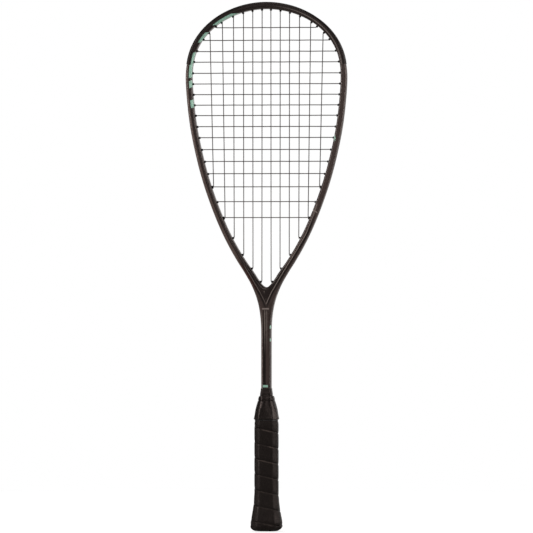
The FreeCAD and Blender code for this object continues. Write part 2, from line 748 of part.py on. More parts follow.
def make_finishing_tape():
    """Short band over the top edge of the grip tape."""
    return loft(FINISHING_OUT).cut(loft(FINISHING_IN))


def make_collar():
    """Rubber cone, thick rim and thin neck round the shaft."""
    collar = loft(COLLAR_OUT, COLLAR_ROUND).fuse([
        loft(COLLAR_RIM, COLLAR_ROUND), loft(COLLAR_NECK, COLLAR_ROUND, NECK_BEVEL)])
    return collar.cut(loft(COLLAR_IN, COLLAR_ROUND)).cut(shaft_bar(0.12, 140.0, 190.0))


def plug(side):
    """Foam block in one of the tube's open ends."""
    half_x = SHAFT_HALF - WALL
    half_y = HALF_DEPTH - WALL - CAVITY_FILLET
    x = WEB_HALF + FIT if side > 0 else -half_x + FIT
    return Part.makeBox(half_x - WEB_HALF - 2 * FIT, 2 * half_y, 24.0,
                        Vector(x, -half_y, SHAFT_BOTTOM_Z + 0.5))


# ---------------------------------------------------------------------------
def save(name, *shapes):
    solids = [outward(solid) for shape in shapes for solid in shape.Solids]
    piece = solids[0] if len(solids) == 1 else Part.makeCompound(solids)
    piece.exportStep("parts/%s.step" % name)


os.makedirs("parts", exist_ok=True)
save("carbon_frame", make_frame())
save("head_bumper_guard", make_guard())
for side, side_name in ((-1, "left"), (1, "right")):
    save(side_name + "_side_grommet_strip", make_strip(SIDE_STRIP_Z, side))
    save(side_name + "_throat_grommet_strip", make_strip(THROAT_STRIP_Z, side))
save("main_string", make_main_string())
save("cross_string", make_cross_string())
save("handle_pallet", make_pallet())
save("shaft_end_plugs", plug(-1), plug(1))
save("butt_cap", make_butt_cap())
save("butt_cap_staples", staple(-1), staple(1))
save("grip_tape", make_grip_tape())
save("grip_start_tack", tack())
save("finishing_tape", make_finishing_tape())
save("rubber_collar", make_collar())
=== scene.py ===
# A strung racket standing on the butt of its handle. Z runs up the handle to the head, X across
# the string bed and -Y is the front; the handle's axis is x = y = 0 and its butt is at z = 0.
# Shapes are worked out in millimetres and turned into metres as the meshes are made.
import math
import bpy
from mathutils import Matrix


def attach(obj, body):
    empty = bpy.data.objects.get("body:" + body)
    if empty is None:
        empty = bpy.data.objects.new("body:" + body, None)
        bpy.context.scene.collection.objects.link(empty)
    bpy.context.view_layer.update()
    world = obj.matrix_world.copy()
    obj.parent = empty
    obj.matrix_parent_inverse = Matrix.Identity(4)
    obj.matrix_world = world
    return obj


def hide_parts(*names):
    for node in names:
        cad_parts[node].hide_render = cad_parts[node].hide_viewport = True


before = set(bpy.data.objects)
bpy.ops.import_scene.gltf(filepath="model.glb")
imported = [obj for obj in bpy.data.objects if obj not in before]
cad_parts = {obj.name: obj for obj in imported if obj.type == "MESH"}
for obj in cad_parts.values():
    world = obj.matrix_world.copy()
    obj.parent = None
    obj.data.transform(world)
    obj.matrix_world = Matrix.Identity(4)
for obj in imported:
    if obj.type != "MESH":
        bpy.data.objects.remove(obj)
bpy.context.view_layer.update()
from types import SimpleNamespace
import bpy
import bmesh
import numpy as np
from mathutils import Vector

MM = 0.001

# ---------------------------------------------------------------------------
# sizes of the frame, in mm
# ---------------------------------------------------------------------------
# right half of the outer edge, top to bottom: (x, z)
OUTLINE = [
    (0.0, 686.00), (25.06, 683.30), (48.90, 675.52), (70.24, 662.77),
    (87.67, 645.29), (99.55, 623.56), (104.50, 599.04), (104.38, 575.41),
    (102.77, 555.13), (100.88, 537.78), (98.66, 522.40), (96.10, 508.36),
    (93.33, 495.19), (90.40, 482.46), (87.22, 469.76), (83.58, 456.75),
    (79.29, 443.05), (74.16, 428.21), (67.89, 411.56), (62.08, 397.47),
    (56.20, 384.47), (50.60, 373.17), (44.90, 362.59), (39.32, 352.98),
    (34.11, 344.54), (29.50, 337.33), (25.11, 330.00), (20.80, 322.40),
    (17.30, 315.10), (14.45, 308.20), (12.10, 301.50), (10.20, 294.60),
    (8.75, 287.60), (7.70, 280.60), (6.95, 273.00), (6.52, 266.00),
    (6.38, 259.00), (6.35, 252.00), (6.35, 244.00), (6.35, 220.00),
    (6.35, 170.00), (6.35, 120.00), (6.35, 70.00), (6.35, 20.00), (6.35, 0.00)]
# width of the ring in the plane of the strings: (z, width)
THICKNESS = [(340.0, 9.2), (360.0, 8.8), (390.0, 8.5), (430.0, 8.4), (480.0, 8.3),
             (540.0, 8.1), (600.0, 8.1), (640.0, 8.4), (670.0, 8.8), (690.0, 9.0)]
# right half of the foot of the opening, down to its lowest point: (x, z)
CROTCH = [(14.70, 332.60), (11.60, 327.60), (8.70, 323.50), (6.20, 320.20),
          (3.90, 317.90), (0.0, 316.20)]
HALF, ROUND = 9.5, 3.2                  # half depth along Y, radius of the long edges
FLAT = HALF - ROUND
RING_END, THROAT_END, SHAFT_END = 345.0, 304.0, 8.0     # z where each part of the shell ends
RING_STATIONS, THROAT_STEPS, SHAFT_STEPS = 250, 34, 96
SHAFT_FADE = 60.0                       # height over which the shaft's sections level out

GROOVE_HALF, GROOVE_DEPTH = 2.8, 2.1    # groove round the outer edge
GROOVE_END, GROOVE_FADE = 307.5, 2.4    # z where it runs out, and over what height
GUARD_END = 605.5                       # z of the head guard's two ends
GUARD_RECESS = 1.6                      # the frame sinks by this under the guard
RECESS_LEAD, RECESS_FADE = 20.5, 55.0   # it starts this far below the ends, over this height
GUARD_FLANGE, GUARD_REACH = 0.65, 4.3   # guard's thickness on the faces, reach over them
STRIP_FLOOR = 1.45                      # depth of the strips' outer face
FIT = 0.05                              # clearance between touching parts
GUARD_STATIONS, STRIP_STATIONS = 190, 70
THROAT_STRIP_TOP, SIDE_STRIP_FOOT = 379.5, 395.0

# strings: half of the mains as (x at the head, x at the throat), then the crosses' z
MAINS = [(5.7, 6.0), (17.9, 17.6), (30.0, 29.6), (43.0, 42.0), (57.5, 56.1), (73.6, 70.4)]
CROSSES = [652.9, 636.5, 622.1, 608.3, 593.9, 580.0, 566.2, 552.5, 539.0,
           524.6, 510.3, 494.8, 479.4, 463.5, 446.4, 427.2, 406.5]
SHARED = {4: 16, 5: 14}                 # main whose lower hole is that of a cross: main -> cross
NUB, LEAD = 2.0, 0.45                   # barrel's height off the inner wall, string's turn past it
BARREL_ROOT, BARREL_SIDES = 1.5, 24     # barrel's length inside the wall, its facets


# ---------------------------------------------------------------------------
# curves
# ---------------------------------------------------------------------------
class Spline:
    """Cubic curve through points, chord-length parameter, natural ends."""

    def __init__(self, points):
        self.points = p = np.asarray(points, float)
        chords = np.linalg.norm(np.diff(p, axis=0), axis=1)
        self.t = np.concatenate([[0.0], np.cumsum(chords)])
        n, h = len(self.t), np.diff(self.t)
        matrix = np.zeros((n, n))
        right = np.zeros((n, p.shape[1]))
        matrix[0, 0] = matrix[-1, -1] = 1.0
        for i in range(1, n - 1):
            matrix[i, i - 1:i + 2] = h[i - 1], 2 * (h[i - 1] + h[i]), h[i]
            right[i] = 6 * ((p[i + 1] - p[i]) / h[i] - (p[i] - p[i - 1]) / h[i - 1])
        self.bend = np.linalg.solve(matrix, right)

    def at(self, t, slope=False):
        t = float(min(max(t, self.t[0]), self.t[-1]))
        i = int(min(max(np.searchsorted(self.t, t) - 1, 0), len(self.t) - 2))
        h = self.t[i + 1] - self.t[i]
        a, b = (self.t[i + 1] - t) / h, (t - self.t[i]) / h
        m0, m1 = self.bend[i], self.bend[i + 1]
        p0, p1 = self.points[i], self.points[i + 1]
        if slope:
            return (p1 - p0) / h - (3 * a * a - 1) / 6 * h * m0 + (3 * b * b - 1) / 6 * h * m1
        return a * p0 + b * p1 + ((a ** 3 - a) * m0 + (b ** 3 - b) * m1) * h * h / 6

    def with_normal(self, t):
        """Point (x, z) and the normal to the left of travel."""
        d = self.at(t, slope=True)
        normal = np.array([-d[1], d[0]])
        return self.at(t), normal / np.linalg.norm(normal)


def lookup(table, z, column=1):
    return float(np.interp(z, [r[0] for r in table], [r[column] for r in table]))


def smooth(x):
    x = max(0.0, min(1.0, x))
    return x * x * (3.0 - 2.0 * x)


def root(f, a, b):
    """Where f changes sign between a and b, by halving."""
    start_positive = f(a) > 0
    for _ in range(50):
        middle = 0.5 * (a + b)
        if (f(middle) > 0) == start_positive:
            a = middle
        else:
            b = middle
    return 0.5 * (a + b)


# the whole outer edge, from the foot of the left side over the top to the foot of the right
LEFT_EDGE = [(-x, z) for x, z in OUTLINE[:0:-1]]
EDGE = Spline(LEFT_EDGE + OUTLINE)
T_START, T_TOP, T_END = EDGE.t[0], EDGE.t[len(LEFT_EDGE)], EDGE.t[-1]


def find_t(z, side):
    """Parameter of the outer edge at a height; side is -1 left, 1 right."""
    ends = (T_START, T_TOP) if side < 0 else (T_TOP, T_END)
    return root(lambda t: EDGE.at(t)[1] - z, *ends)


def recess(z):
    return GUARD_RECESS * smooth((z - (GUARD_END - RECESS_LEAD)) / RECESS_FADE)


def inner(t):
    """Point of the ring's inner wall across from t."""
    point, normal = EDGE.with_normal(t)
    return point - normal * lookup(THICKNESS, point[1])


def opening_curve():
    """Foot of the opening, right to left, and the parameters of its right half."""
    half = [inner(find_t(z, 1)) for z in (348.0, 342.5)] + [np.array(c) for c in CROTCH]
    curve = Spline(half + [np.array((-q[0], q[1])) for q in half[-2::-1]])
    return curve, curve.t[1], curve.t[len(half) - 1]


OPENING, OPENING_START, OPENING_LOW = opening_curve()


def wall_profile():
    """Half width of the opening by height, low on the ring: arrays of z and of x."""
    points = [OPENING.at(t) for t in np.linspace(OPENING_START, OPENING_LOW, 200)]
    points += [inner(find_t(z, 1)) for z in np.linspace(343.5, 372.0, 58)]
    points.sort(key=lambda q: q[1])
    return np.array([q[1] for q in points]), np.array([abs(q[0]) for q in points])


WALL_Z, WALL_X = wall_profile()


def wall_depth(t):
    """Distance from the outer edge straight in to the opening."""
    point, normal = EDGE.with_normal(t)
    if point[1] > 350.0:
        return lookup(THICKNESS, point[1])
    low, high = 4.0, 24.0
    for _ in range(40):
        depth = 0.5 * (low + high)
        q = point - normal * depth
        if q[1] > WALL_Z[0] and abs(q[0]) < np.interp(q[1], WALL_Z, WALL_X):
            high = depth
        else:
            low = depth
    return 0.5 * (low + high)


def mouth(t, extra=0.0):
    """Where a hole leaves the inner wall, or a point that much further in."""
    point, normal = EDGE.with_normal(t)
    return point - normal * (wall_depth(t) + extra)


# ---------------------------------------------------------------------------
# string holes, as parameters of the outer edge
# ---------------------------------------------------------------------------
def string_hole(axis, value, start, end):
    """Hole whose string turns at the given x (axis 0) or z (axis 1)."""
    return root(lambda t: mouth(t, NUB + LEAD)[axis] - value, start, end)


def string_holes():
    """All the holes in order, and those shared by a main and a cross."""
    holes, shared = [], []
    for side in (-1, 1):
        head = sorted((T_TOP, find_t(600.0, side)))
        foot = find_t(309.5, side), find_t(440.0, side)
        flank = find_t(316.0, side), find_t(668.0, side)
        for k, (head_x, foot_x) in enumerate(MAINS):
            holes.append(string_hole(0, side * head_x, *head))
            if k not in SHARED:
                holes.append(string_hole(0, side * foot_x, *foot))
        for k, z in enumerate(CROSSES):
            holes.append(string_hole(1, z, *flank))
            if k in SHARED.values():
                shared.append(holes[-1])
    return sorted(holes), shared


HOLES, SHARED_HOLES = string_holes()


# ---------------------------------------------------------------------------
# mesh helpers
# ---------------------------------------------------------------------------
def new_object(name, node, verts, faces, sharp, body="racket", attributes=None):
    """Welded mesh with edges over `sharp` degrees kept hard, standing in for a CAD node."""
    weld = 2e-6
    mesh = bpy.data.meshes.new(name)
    mesh.from_pydata([tuple(v) for v in verts], [], faces)
    mesh.update()
    for key, values in (attributes or {}).items():
        layer = mesh.attributes.new(key, "FLOAT", "POINT")
        layer.data.foreach_set("value", np.asarray(values, np.float32))
    bm = bmesh.new()
    bm.from_mesh(mesh)
    bmesh.ops.remove_doubles(bm, verts=bm.verts, dist=weld)
    bmesh.ops.dissolve_degenerate(bm, edges=bm.edges, dist=weld)
    bmesh.ops.recalc_face_normals(bm, faces=bm.faces)
    limit = math.radians(sharp)
    for f in bm.faces:
        f.smooth = True
    for e in bm.edges:
        e.smooth = not (len(e.link_faces) == 2 and e.calc_face_angle(0.0) > limit)
    bm.to_mesh(mesh)
    bm.free()
    ob = bpy.data.objects.new(name, mesh)
    bpy.context.scene.collection.objects.link(ob)
    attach(ob, body)
    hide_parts(node)
    return ob


class Loft:
    """Vertices and faces of lofted closed rings."""

    def __init__(self):
        self.verts, self.faces = [], []

    def add(self, rings, closed=False):
        """Join the rings in turn; closed joins last to first, otherwise both ends are capped."""
        base, count, sides = len(self.verts), len(rings), len(rings[0])
        points = [p for ring in rings for p in ring]
        faces = []
        for i in range(count if closed else count - 1):
            a, b = i * sides, (i + 1) % count * sides
            for j in range(sides):
                k = (j + 1) % sides
                faces.append((a + j, a + k, b + k, b + j))
        for i in () if closed else (0, count - 1):
            centre = len(points)
            points.append(np.mean(rings[i], axis=0))
            for j in range(sides):
                a, b = i * sides + j, i * sides + (j + 1) % sides
                faces.append((centre, a, b) if i else (centre, b, a))
        self.verts += [tuple(p) for p in points]
        self.faces += [tuple(base + i for i in f) for f in faces]


def edge_ring(t, section):
    """Section of (depth below the outer edge, y) as points in metres."""
    point, normal = EDGE.with_normal(t)
    ring = []
    for depth, y in section:
        q = point - normal * depth
        ring.append((q[0] * MM, y * MM, q[1] * MM))
    return ring


def add_barrels(loft, start, end):
    """Grommet barrels with bored, rounded mouths on the inner wall between two parameters."""
    for t in HOLES:
        if not start < t < end:
            continue
        normal, wall = EDGE.with_normal(t)[1], mouth(t)
        shared = any(abs(t - s) < 0.5 for s in SHARED_HOLES)
        r, bore = (2.05, 1.55) if shared else (1.45, 0.82)
        inward = np.array([-normal[0], 0.0, -normal[1]])
        u, w = np.array([0.0, 1.0, 0.0]), np.array([-normal[1], 0.0, normal[0]])
        foot = np.array([wall[0], 0.0, wall[1]])
        # (distance in from the wall, radius): root, foot bead, rounded mouth, bore
        profile = [(-BARREL_ROOT, r), (0.0, r), (0.10, r + 0.14), (0.30, r + 0.14),
                   (0.42, r + 0.02), (NUB - 0.38, r - 0.01), (NUB - 0.16, r - 0.06),
                   (NUB - 0.04, r - 0.16), (NUB, r - 0.28), (NUB - 0.06, bore + 0.05),
                   (NUB - 0.3, bore - 0.02), (NUB - 1.2, bore - 0.05)]
        angles = np.linspace(0, 2 * math.pi, BARREL_SIDES, endpoint=False)
        loft.add([[(foot + inward * d + (u * math.cos(a) + w * math.sin(a)) * radius) * MM
                   for a in angles] for d, radius in profile])


# ---------------------------------------------------------------------------
# carbon frame: one shell, head + open throat + shaft
# ---------------------------------------------------------------------------
ARC = [math.pi / 2 * i / 8 for i in range(9)]       # angles over each rounded edge


def half_section(t, far, far_normal=None):
    """Rows (x, y, z, mm across from the far side) of the half y >= 0.

    They run from the groove over the face to the inner wall at `far`, whose normal points
    into the frame. Without a normal they stop on the face above the centre line.
    """
    edge, normal = EDGE.with_normal(t)
    sunk = recess(edge[1])
    groove = GROOVE_DEPTH * smooth((edge[1] - GROOVE_END + GROOVE_FADE / 2) / GROOVE_FADE)
    wide = np.linalg.norm((edge - normal * sunk) - far)
    rows = []

    def put(point, y, across):
        rows.append((point[0], y, point[1], across))

    for y in (0.0, 1.4, 2.76):                      # groove floor
        put(edge - normal * (sunk + groove), y, wide)
    for y in (2.86, 3.7, 5.0):                      # outer wall
        put(edge - normal * sunk, y, wide)
    for a in ARC:
        d = ROUND * (1 - math.cos(a))
        put(edge - normal * (sunk + d), FLAT + ROUND * math.sin(a), wide - d)
    solid = far_normal is None
    face_start = edge - normal * (sunk + ROUND)
    face_end, end_across = (far, 0.0) if solid else (far + far_normal * ROUND, ROUND)
    for k in (0.25, 0.5, 0.75, 1.0) if solid else (0.25, 0.5, 0.75):
        put(face_start * (1 - k) + face_end * k, HALF, (wide - ROUND) * (1 - k) + end_across * k)
    if not solid:
        for a in ARC[::-1]:
            d = ROUND * (1 - math.cos(a))
            put(far + far_normal * d, FLAT + ROUND * math.sin(a), d)
        for y in (4.2, 2.1, 0.0):
            put(far, y, 0.0)
    return rows


def frame_stations():
    """Half sections (t, rows) down the right side: ring, throat, shaft."""
    ring_t, throat_t, shaft_t = (find_t(z, 1) for z in (RING_END, THROAT_END, SHAFT_END))
    stations = []
    for t in np.linspace(T_TOP, ring_t, RING_STATIONS):
        stations.append((t, half_section(t, inner(t), EDGE.with_normal(t)[1])))
    # the throat's inner ends are spaced evenly along the opening
    params = np.linspace(OPENING_START, OPENING_LOW, 400)
    path = np.array([OPENING.at(k) for k in params])
    steps = np.linalg.norm(np.diff(path, axis=0), axis=1)
    length = np.concatenate([[0], np.cumsum(steps)])
    for i in range(1, THROAT_STEPS + 1):
        share = i / THROAT_STEPS
        t = ring_t + (throat_t - ring_t) * share
        k = float(np.interp(share * length[-1], length, params))
        wall, normal = OPENING.with_normal(k)
        if i == THROAT_STEPS:
            wall, normal = np.array(CROTCH[-1]), np.array([0.0, -1.0])
        stations.append((t, half_section(t, wall, normal)))
    centre_top = CROTCH[-1][1] - ROUND
    for i in range(1, SHAFT_STEPS + 1):
        t = throat_t + (shaft_t - throat_t) * (i / SHAFT_STEPS)
        z = EDGE.at(t)[1]
        drop = smooth((THROAT_END - z) / SHAFT_FADE)
        centre_z = (centre_top - (THROAT_END - z)) * (1 - drop) + z * drop
        stations.append((t, half_section(t, np.array([0.0, centre_z]))))
    return stations


# lines of the livery, seen from the front: (x, z)
PIN_RIGHT = [(67.2, 425.4), (61.8, 409.8), (52.0, 385.0), (40.1, 364.4), (20.2, 332.0),
             (7.0, 309.3), (2.5, 299.5), (0.5, 294.3)]
PIN_LEFT = [(-27.0, 342.3), (-20.9, 332.0), (-7.5, 309.3), (-2.4, 299.5), (-0.3, 294.3)]
VEE_LINES = [(-2.9, 313.5), (-0.1, 299.5)], [(1.9, 313.0), (0.3, 299.5)]
WEDGE_LINE = [(60.2, 416.4), (66.7, 412.9)]
VEE_Z, VEE_HALF = (294.3, 342.0), (0.0, 27.5)       # the vee's heights and half widths there


def signed_distance(points, line):
    """Signed in-plane distance to a line, straight across it so that it interpolates well."""
    nearest, signed = np.full(len(points), 1e9), np.zeros(len(points))
    for start, end in zip(line, line[1:]):
        along = np.array(end) - np.array(start)
        offset = points - np.array(start)
        share = np.clip((offset @ along) / (along @ along), 0, 1)
        distance = np.linalg.norm(offset - share[:, None] * along, axis=1)
        cross = (offset[:, 0] * along[1] - offset[:, 1] * along[0]) / np.linalg.norm(along)
        use = distance < nearest
        nearest = np.where(use, distance, nearest)
        signed = np.where(use, cross, signed)
    return signed


def build_frame():
    ids, verts, across_mm, along_mm, faces = {}, [], [], [], []

    def mirrored(station, sx, sy):
        """Vertex numbers of a half section, mirrored by the two signs."""
        t, rows = station
        found = []
        for x, y, z, across in rows:
            x = sx * x if abs(x) > 1e-6 else 0.0
            y = sy * y if y else 0.0
            key = (round(x, 4), round(y, 4), round(z, 4))
            if key not in ids:
                ids[key] = len(verts)
                verts.append((x * MM, y * MM, z * MM))
                across_mm.append(across)
                along_mm.append(sx * (t - T_TOP))
            found.append(ids[key])
        return found

    stations = frame_stations()
    for sx in (1, -1):
        for sy in (1, -1):
            previous = None
            for station in stations:
                current = mirrored(station, sx, sy)
                for i in range(len(current) - 1 if previous else 0):
                    quad = (previous[i], previous[i + 1], current[i + 1], current[i])
                    corners = list(dict.fromkeys(quad))
                    if len(corners) > 2:
                        faces.append(tuple(corners))
                previous = current
    # the shaft's lower end, inside the handle
    loop = []
    for sx, sy, step in ((1, 1, 1), (-1, 1, -1), (-1, -1, 1), (1, -1, -1)):
        for v in mirrored(stations[-1], sx, sy)[::step]:
            if not loop or (loop[-1] != v and v != loop[0]):
                loop.append(v)
    faces.append(tuple(loop))

    xs = np.array([v[0] for v in verts]) * 1000
    zs = np.array([v[2] for v in verts]) * 1000
    points = np.stack([xs, zs], 1)
    inside_vee = np.interp(zs, VEE_Z, VEE_HALF) - np.abs(xs)
    vee_left, vee_right = (np.abs(signed_distance(points, line)) for line in VEE_LINES)
    attributes = {"veein": np.clip(inside_vee, -20, 20),
                  "veel": np.minimum(vee_left, vee_right),
                  "wedge": signed_distance(points, WEDGE_LINE),
                  "across": across_mm, "along": along_mm,
                  "pinr": signed_distance(points, PIN_RIGHT),
                  "pinl": signed_distance(points, PIN_LEFT)}
    return new_object("frame_shell", "carbon_frame", verts, faces, sharp=40.0,
                      attributes=attributes)


# ---------------------------------------------------------------------------
# head guard and grommet strips
# ---------------------------------------------------------------------------
CAP_MARK, BARREL_MARK = 3.0, 9.0        # "fromedge" on the guard's end caps and its barrels


def guard_section(t):
    """Closed section of (depth below the outer edge, y)."""
    sunk = recess(EDGE.at(t)[1])
    h, r = HALF + GUARD_FLANGE, ROUND + 0.5
    reach = GUARD_RECESS + GUARD_REACH
    floor, groove = sunk + STRIP_FLOOR, sunk + GROOVE_DEPTH - FIT
    # channel down the middle, then the outer face
    half = [(floor, 0.0), (floor, 1.9), (floor - 0.25, 2.1),
            (0.3, 2.15), (0.06, 2.25), (0.0, 2.5), (0.0, 4.2)]
    half += [(r * (1 - math.cos(a)), h - r + r * math.sin(a)) for a in ARC]
    # lip of the flange, then back along the frame to the groove
    half += [(reach - 1.0, h), (reach - 0.35, h - 0.02), (reach - 0.08, h - 0.14),
             (reach, h - 0.36), (reach, HALF + FIT)]
    half += [(sunk + ROUND * (1 - math.cos(a)) - FIT, FLAT + (ROUND + FIT) * math.sin(a))
             for a in ARC[::-1]]
    half += [(sunk - FIT, 2.72), (groove, 2.7), (groove, 0.0)]
    return half + [(d, -y) for d, y in half[-2:0:-1]]


def build_guard():
    loft, rings, from_edge = Loft(), [], []
    start, end = find_t(GUARD_END, -1), find_t(GUARD_END, 1)
    for t in np.linspace(start, end, GUARD_STATIONS):
        section = guard_section(t)
        rings.append(edge_ring(t, section))
        from_edge += [max(0.0, d) for d, _ in section]
    loft.add(rings)
    from_edge += [CAP_MARK] * 2
    add_barrels(loft, start, end)
    from_edge += [BARREL_MARK] * (len(loft.verts) - len(from_edge))
    return new_object("head_guard", "head_bumper_guard", loft.verts, loft.faces,
                      sharp=38.0, attributes={"fromedge": from_edge})


def build_strip(name, node, top, foot, side):
    """Strip lying in the groove, with its barrels."""
    loft, rings = Loft(), []
    start, end = sorted((find_t(top, side), find_t(foot, side)))
    for t in np.linspace(start, end, STRIP_STATIONS):
        sunk = recess(EDGE.at(t)[1])
        low, high, w = sunk + GROOVE_DEPTH - FIT, sunk + STRIP_FLOOR, GROOVE_HALF - 0.1
        rings.append(edge_ring(t, [
            (low, -w), (high + 0.15, -w), (high, -w + 0.15), (high, 0.0),
            (high, w - 0.15), (high + 0.15, w), (low, w), (low, 0.0)]))
    loft.add(rings)
    add_barrels(loft, start, end)
    return new_object(name, node, loft.verts, loft.faces, sharp=38.0)


# ---------------------------------------------------------------------------
# handle: every table row is (z, half width in X, half depth in Y), in mm
# ---------------------------------------------------------------------------
GRIP = [(0.0, 20.0, 18.1), (6.5, 20.25, 18.3), (11.5, 20.45, 18.4), (16.0, 19.75, 17.7),
        (21.0, 18.8, 16.8), (27.0, 17.75, 15.9), (33.0, 16.9, 15.15), (40.0, 16.2, 14.5),
        (50.0, 15.65, 14.05), (138.0, 15.6, 14.0), (141.0, 15.3, 13.75), (145.0, 14.3, 13.15),
        (148.0, 13.85, 12.8)]
GRIP_START, GRIP_END = 6.5, 148.0
TAPER_START = 138.0                     # the wrap thins from here to its upper end
PITCH, FRONT_Z = 20.2, 131.7            # turn of the tape, height of a seam at the front
WRAP_THICKNESS = 1.7
DISH = [(0.5, 7.0, 6.0), (0.42, 8.2, 7.1), (0.12, 8.7, 7.5), (0.0, 9.3, 8.1), (0.0, 11.4, 9.8)]
CAP = [(0.0, 12.0, 10.4), (0.35, 14.3, 12.6), (1.1, 16.3, 14.5), (2.4, 18.2, 16.4),
       (4.2, 19.6, 17.7), (6.4, 20.25, 18.3)]
COLLAR_OUT = [(146.5, 15.75, 14.6), (152.0, 15.15, 14.3), (157.0, 14.45, 13.9),
              (162.0, 13.35, 13.4), (166.0, 12.1, 12.9), (169.4, 11.0, 12.45)]
COLLAR_FOOT = [(145.0, 15.35, 14.1), (144.99, 15.75, 14.5), (145.25, 15.93, 14.68),
               (145.9, 15.86, 14.66)]
COLLAR_BEAD = [(169.0, 11.12, 12.5), (169.35, 10.72, 12.2), (169.55, 10.5, 12.05),
               (169.8, 10.68, 12.2), (170.2, 10.92, 12.38), (170.8, 10.86, 12.34),
               (172.0, 10.54, 12.18), (173.2, 10.24, 12.03), (174.0, 9.95, 11.85),
               (174.6, 9.62, 11.65), (174.95, 9.2, 11.45), (175.0, 8.7, 11.15),
               (175.15, 8.25, 10.95), (175.6, 8.05, 10.83)]
COLLAR_NECK = [(174.6, 8.15, 10.9), (178.0, 7.75, 10.65), (182.0, 7.05, 10.2),
               (185.0, 6.85, 10.0)]
COLLAR_TIP = [(185.0, 6.72, 9.85)]
NECK_BORE = [(184.7, 6.50, 9.64), (178.0, 6.50, 9.64), (173.0, 6.60, 9.70)]
COLLAR_IN = [(144.0, 15.2, 13.95), (148.0, 14.45, 13.35), (153.0, 13.3, 12.75),
             (158.0, 12.1, 12.3), (163.0, 10.6, 11.8), (168.0, 9.0, 11.2), (171.5, 7.9, 10.85)]
BEVEL = 0.42                            # corner cut of the octagon, as a share of each half size


def sizes(table, z, inset=0.0):
    return lookup(table, z, 1) - inset, lookup(table, z, 2) - inset


def sampled(table, heights):
    return [(z, *sizes(table, z)) for z in heights]


def octagon(hx, hy, radius=1.6, bevel=BEVEL, per_arc=5, per_side=5):
    """Rounded octagon as (x, y, nx, ny) going round once, starting on the front."""
    cx, cy = hx * bevel, hy * bevel
    corners = np.array([(-hx + cx, -hy), (hx - cx, -hy), (hx, -hy + cy), (hx, hy - cy),
                        (hx - cx, hy), (-hx + cx, hy), (-hx, hy - cy), (-hx, -hy + cy)])
    arcs = []
    for i in range(8):
        a, b, d = corners[i - 1], corners[i], corners[(i + 1) % 8]
        u, w = (a - b) / np.linalg.norm(a - b), (d - b) / np.linalg.norm(d - b)
        angle = math.acos(max(-1.0, min(1.0, float(u @ w))))
        shorter = min(np.linalg.norm(a - b), np.linalg.norm(d - b))
        cut = min(radius / math.tan(angle / 2), 0.45 * shorter)
        r = cut * math.tan(angle / 2)
        middle = (u + w) / np.linalg.norm(u + w)
        centre = b + middle * (r / math.sin(angle / 2))
        first, last = (math.atan2(*(b + s * cut - centre)[::-1]) for s in (u, w))
        while last < first:
            last += 2 * math.pi
        arcs.append([(centre[0] + r * math.cos(q), centre[1] + r * math.sin(q),
                      math.cos(q), math.sin(q)) for q in np.linspace(first, last, per_arc)])
    out = []
    for i in range(8):
        out += arcs[i]
        s, e = arcs[i][-1], arcs[(i + 1) % 8][0]
        for k in np.linspace(0, 1, per_side + 2)[1:-1]:
            out.append((s[0] * (1 - k) + e[0] * k, s[1] * (1 - k) + e[1] * k, s[2], s[3]))
    return np.array(out)


def rounded(hx, hy, radius, bevel, oval, **counts):
    """The same octagon drawn a share `oval` of the way towards the oval inside it."""
    out = octagon(hx, hy, radius, bevel, **counts)
    q = np.sqrt((out[:, 0] / hx) ** 2 + (out[:, 1] / hy) ** 2)
    scale = 1.0 - oval * (1.0 - 1.0 / q)
    out[:, 0] *= scale
    out[:, 1] *= scale
    return out


def level(outline, z):
    """The outline as a ring at a height, in metres."""
    return [(x * MM, y * MM, z * MM) for x, y, _, _ in outline]


def wrap_height(z, x, y):
    """Relief of the wound tape: one edge laps over the last turn, both edges rolled."""
    angle = math.atan2(x, -y)                       # 0 at the front, + towards +X
    turns = ((z - FRONT_Z) + PITCH * angle / (2 * math.pi)) / PITCH
    f = (turns - math.floor(turns)) * PITCH         # mm above the seam
    groove, half_groove = 0.62, 0.55                # depth and width of the seam's groove
    dip, dip_width = 0.34, 4.5                      # the edge under the next turn
    roll, roll_width = 0.10, 1.6                    # the edge on top
    crown = 0.06                                    # swelling in mid tape
    seam = (groove * math.exp(-(f / half_groove) ** 2)
            + groove * math.exp(-((f - PITCH) / half_groove) ** 2))
    return (-seam - dip * smooth(1.0 - f / dip_width)
            - roll * smooth(1.0 - (PITCH - f) / roll_width)
            + crown * math.sin(math.pi * f / PITCH))


def build_grip():
    counts = {"per_arc": 6, "per_side": 7}
    rings = []
    for z in [GRIP_START] + list(np.arange(7.0, GRIP_END, 0.42)) + [GRIP_END]:
        fade = smooth((z - GRIP_START) / 1.6)       # plainer at the butt end
        ring = []
        for x, y, nx, ny in rounded(*sizes(GRIP, z), 5.0, BEVEL, 0.35 * fade, **counts):
            h = wrap_height(z, x, y) * (0.35 + 0.65 * fade)
            ring.append(((x + nx * h) * MM, (y + ny * h) * MM, z * MM))
        rings.append(ring)
    for z in np.linspace(GRIP_END, GRIP_START, 12):
        inset = WRAP_THICKNESS
        if z >= TAPER_START:
            inset -= (z - TAPER_START) / 10 * 0.6
        rings.append(level(octagon(*sizes(GRIP, z, inset), **counts), z))
    loft = Loft()
    loft.add(rings, closed=True)
    return new_object("grip_wrap", "grip_tape", loft.verts, loft.faces, sharp=55.0)


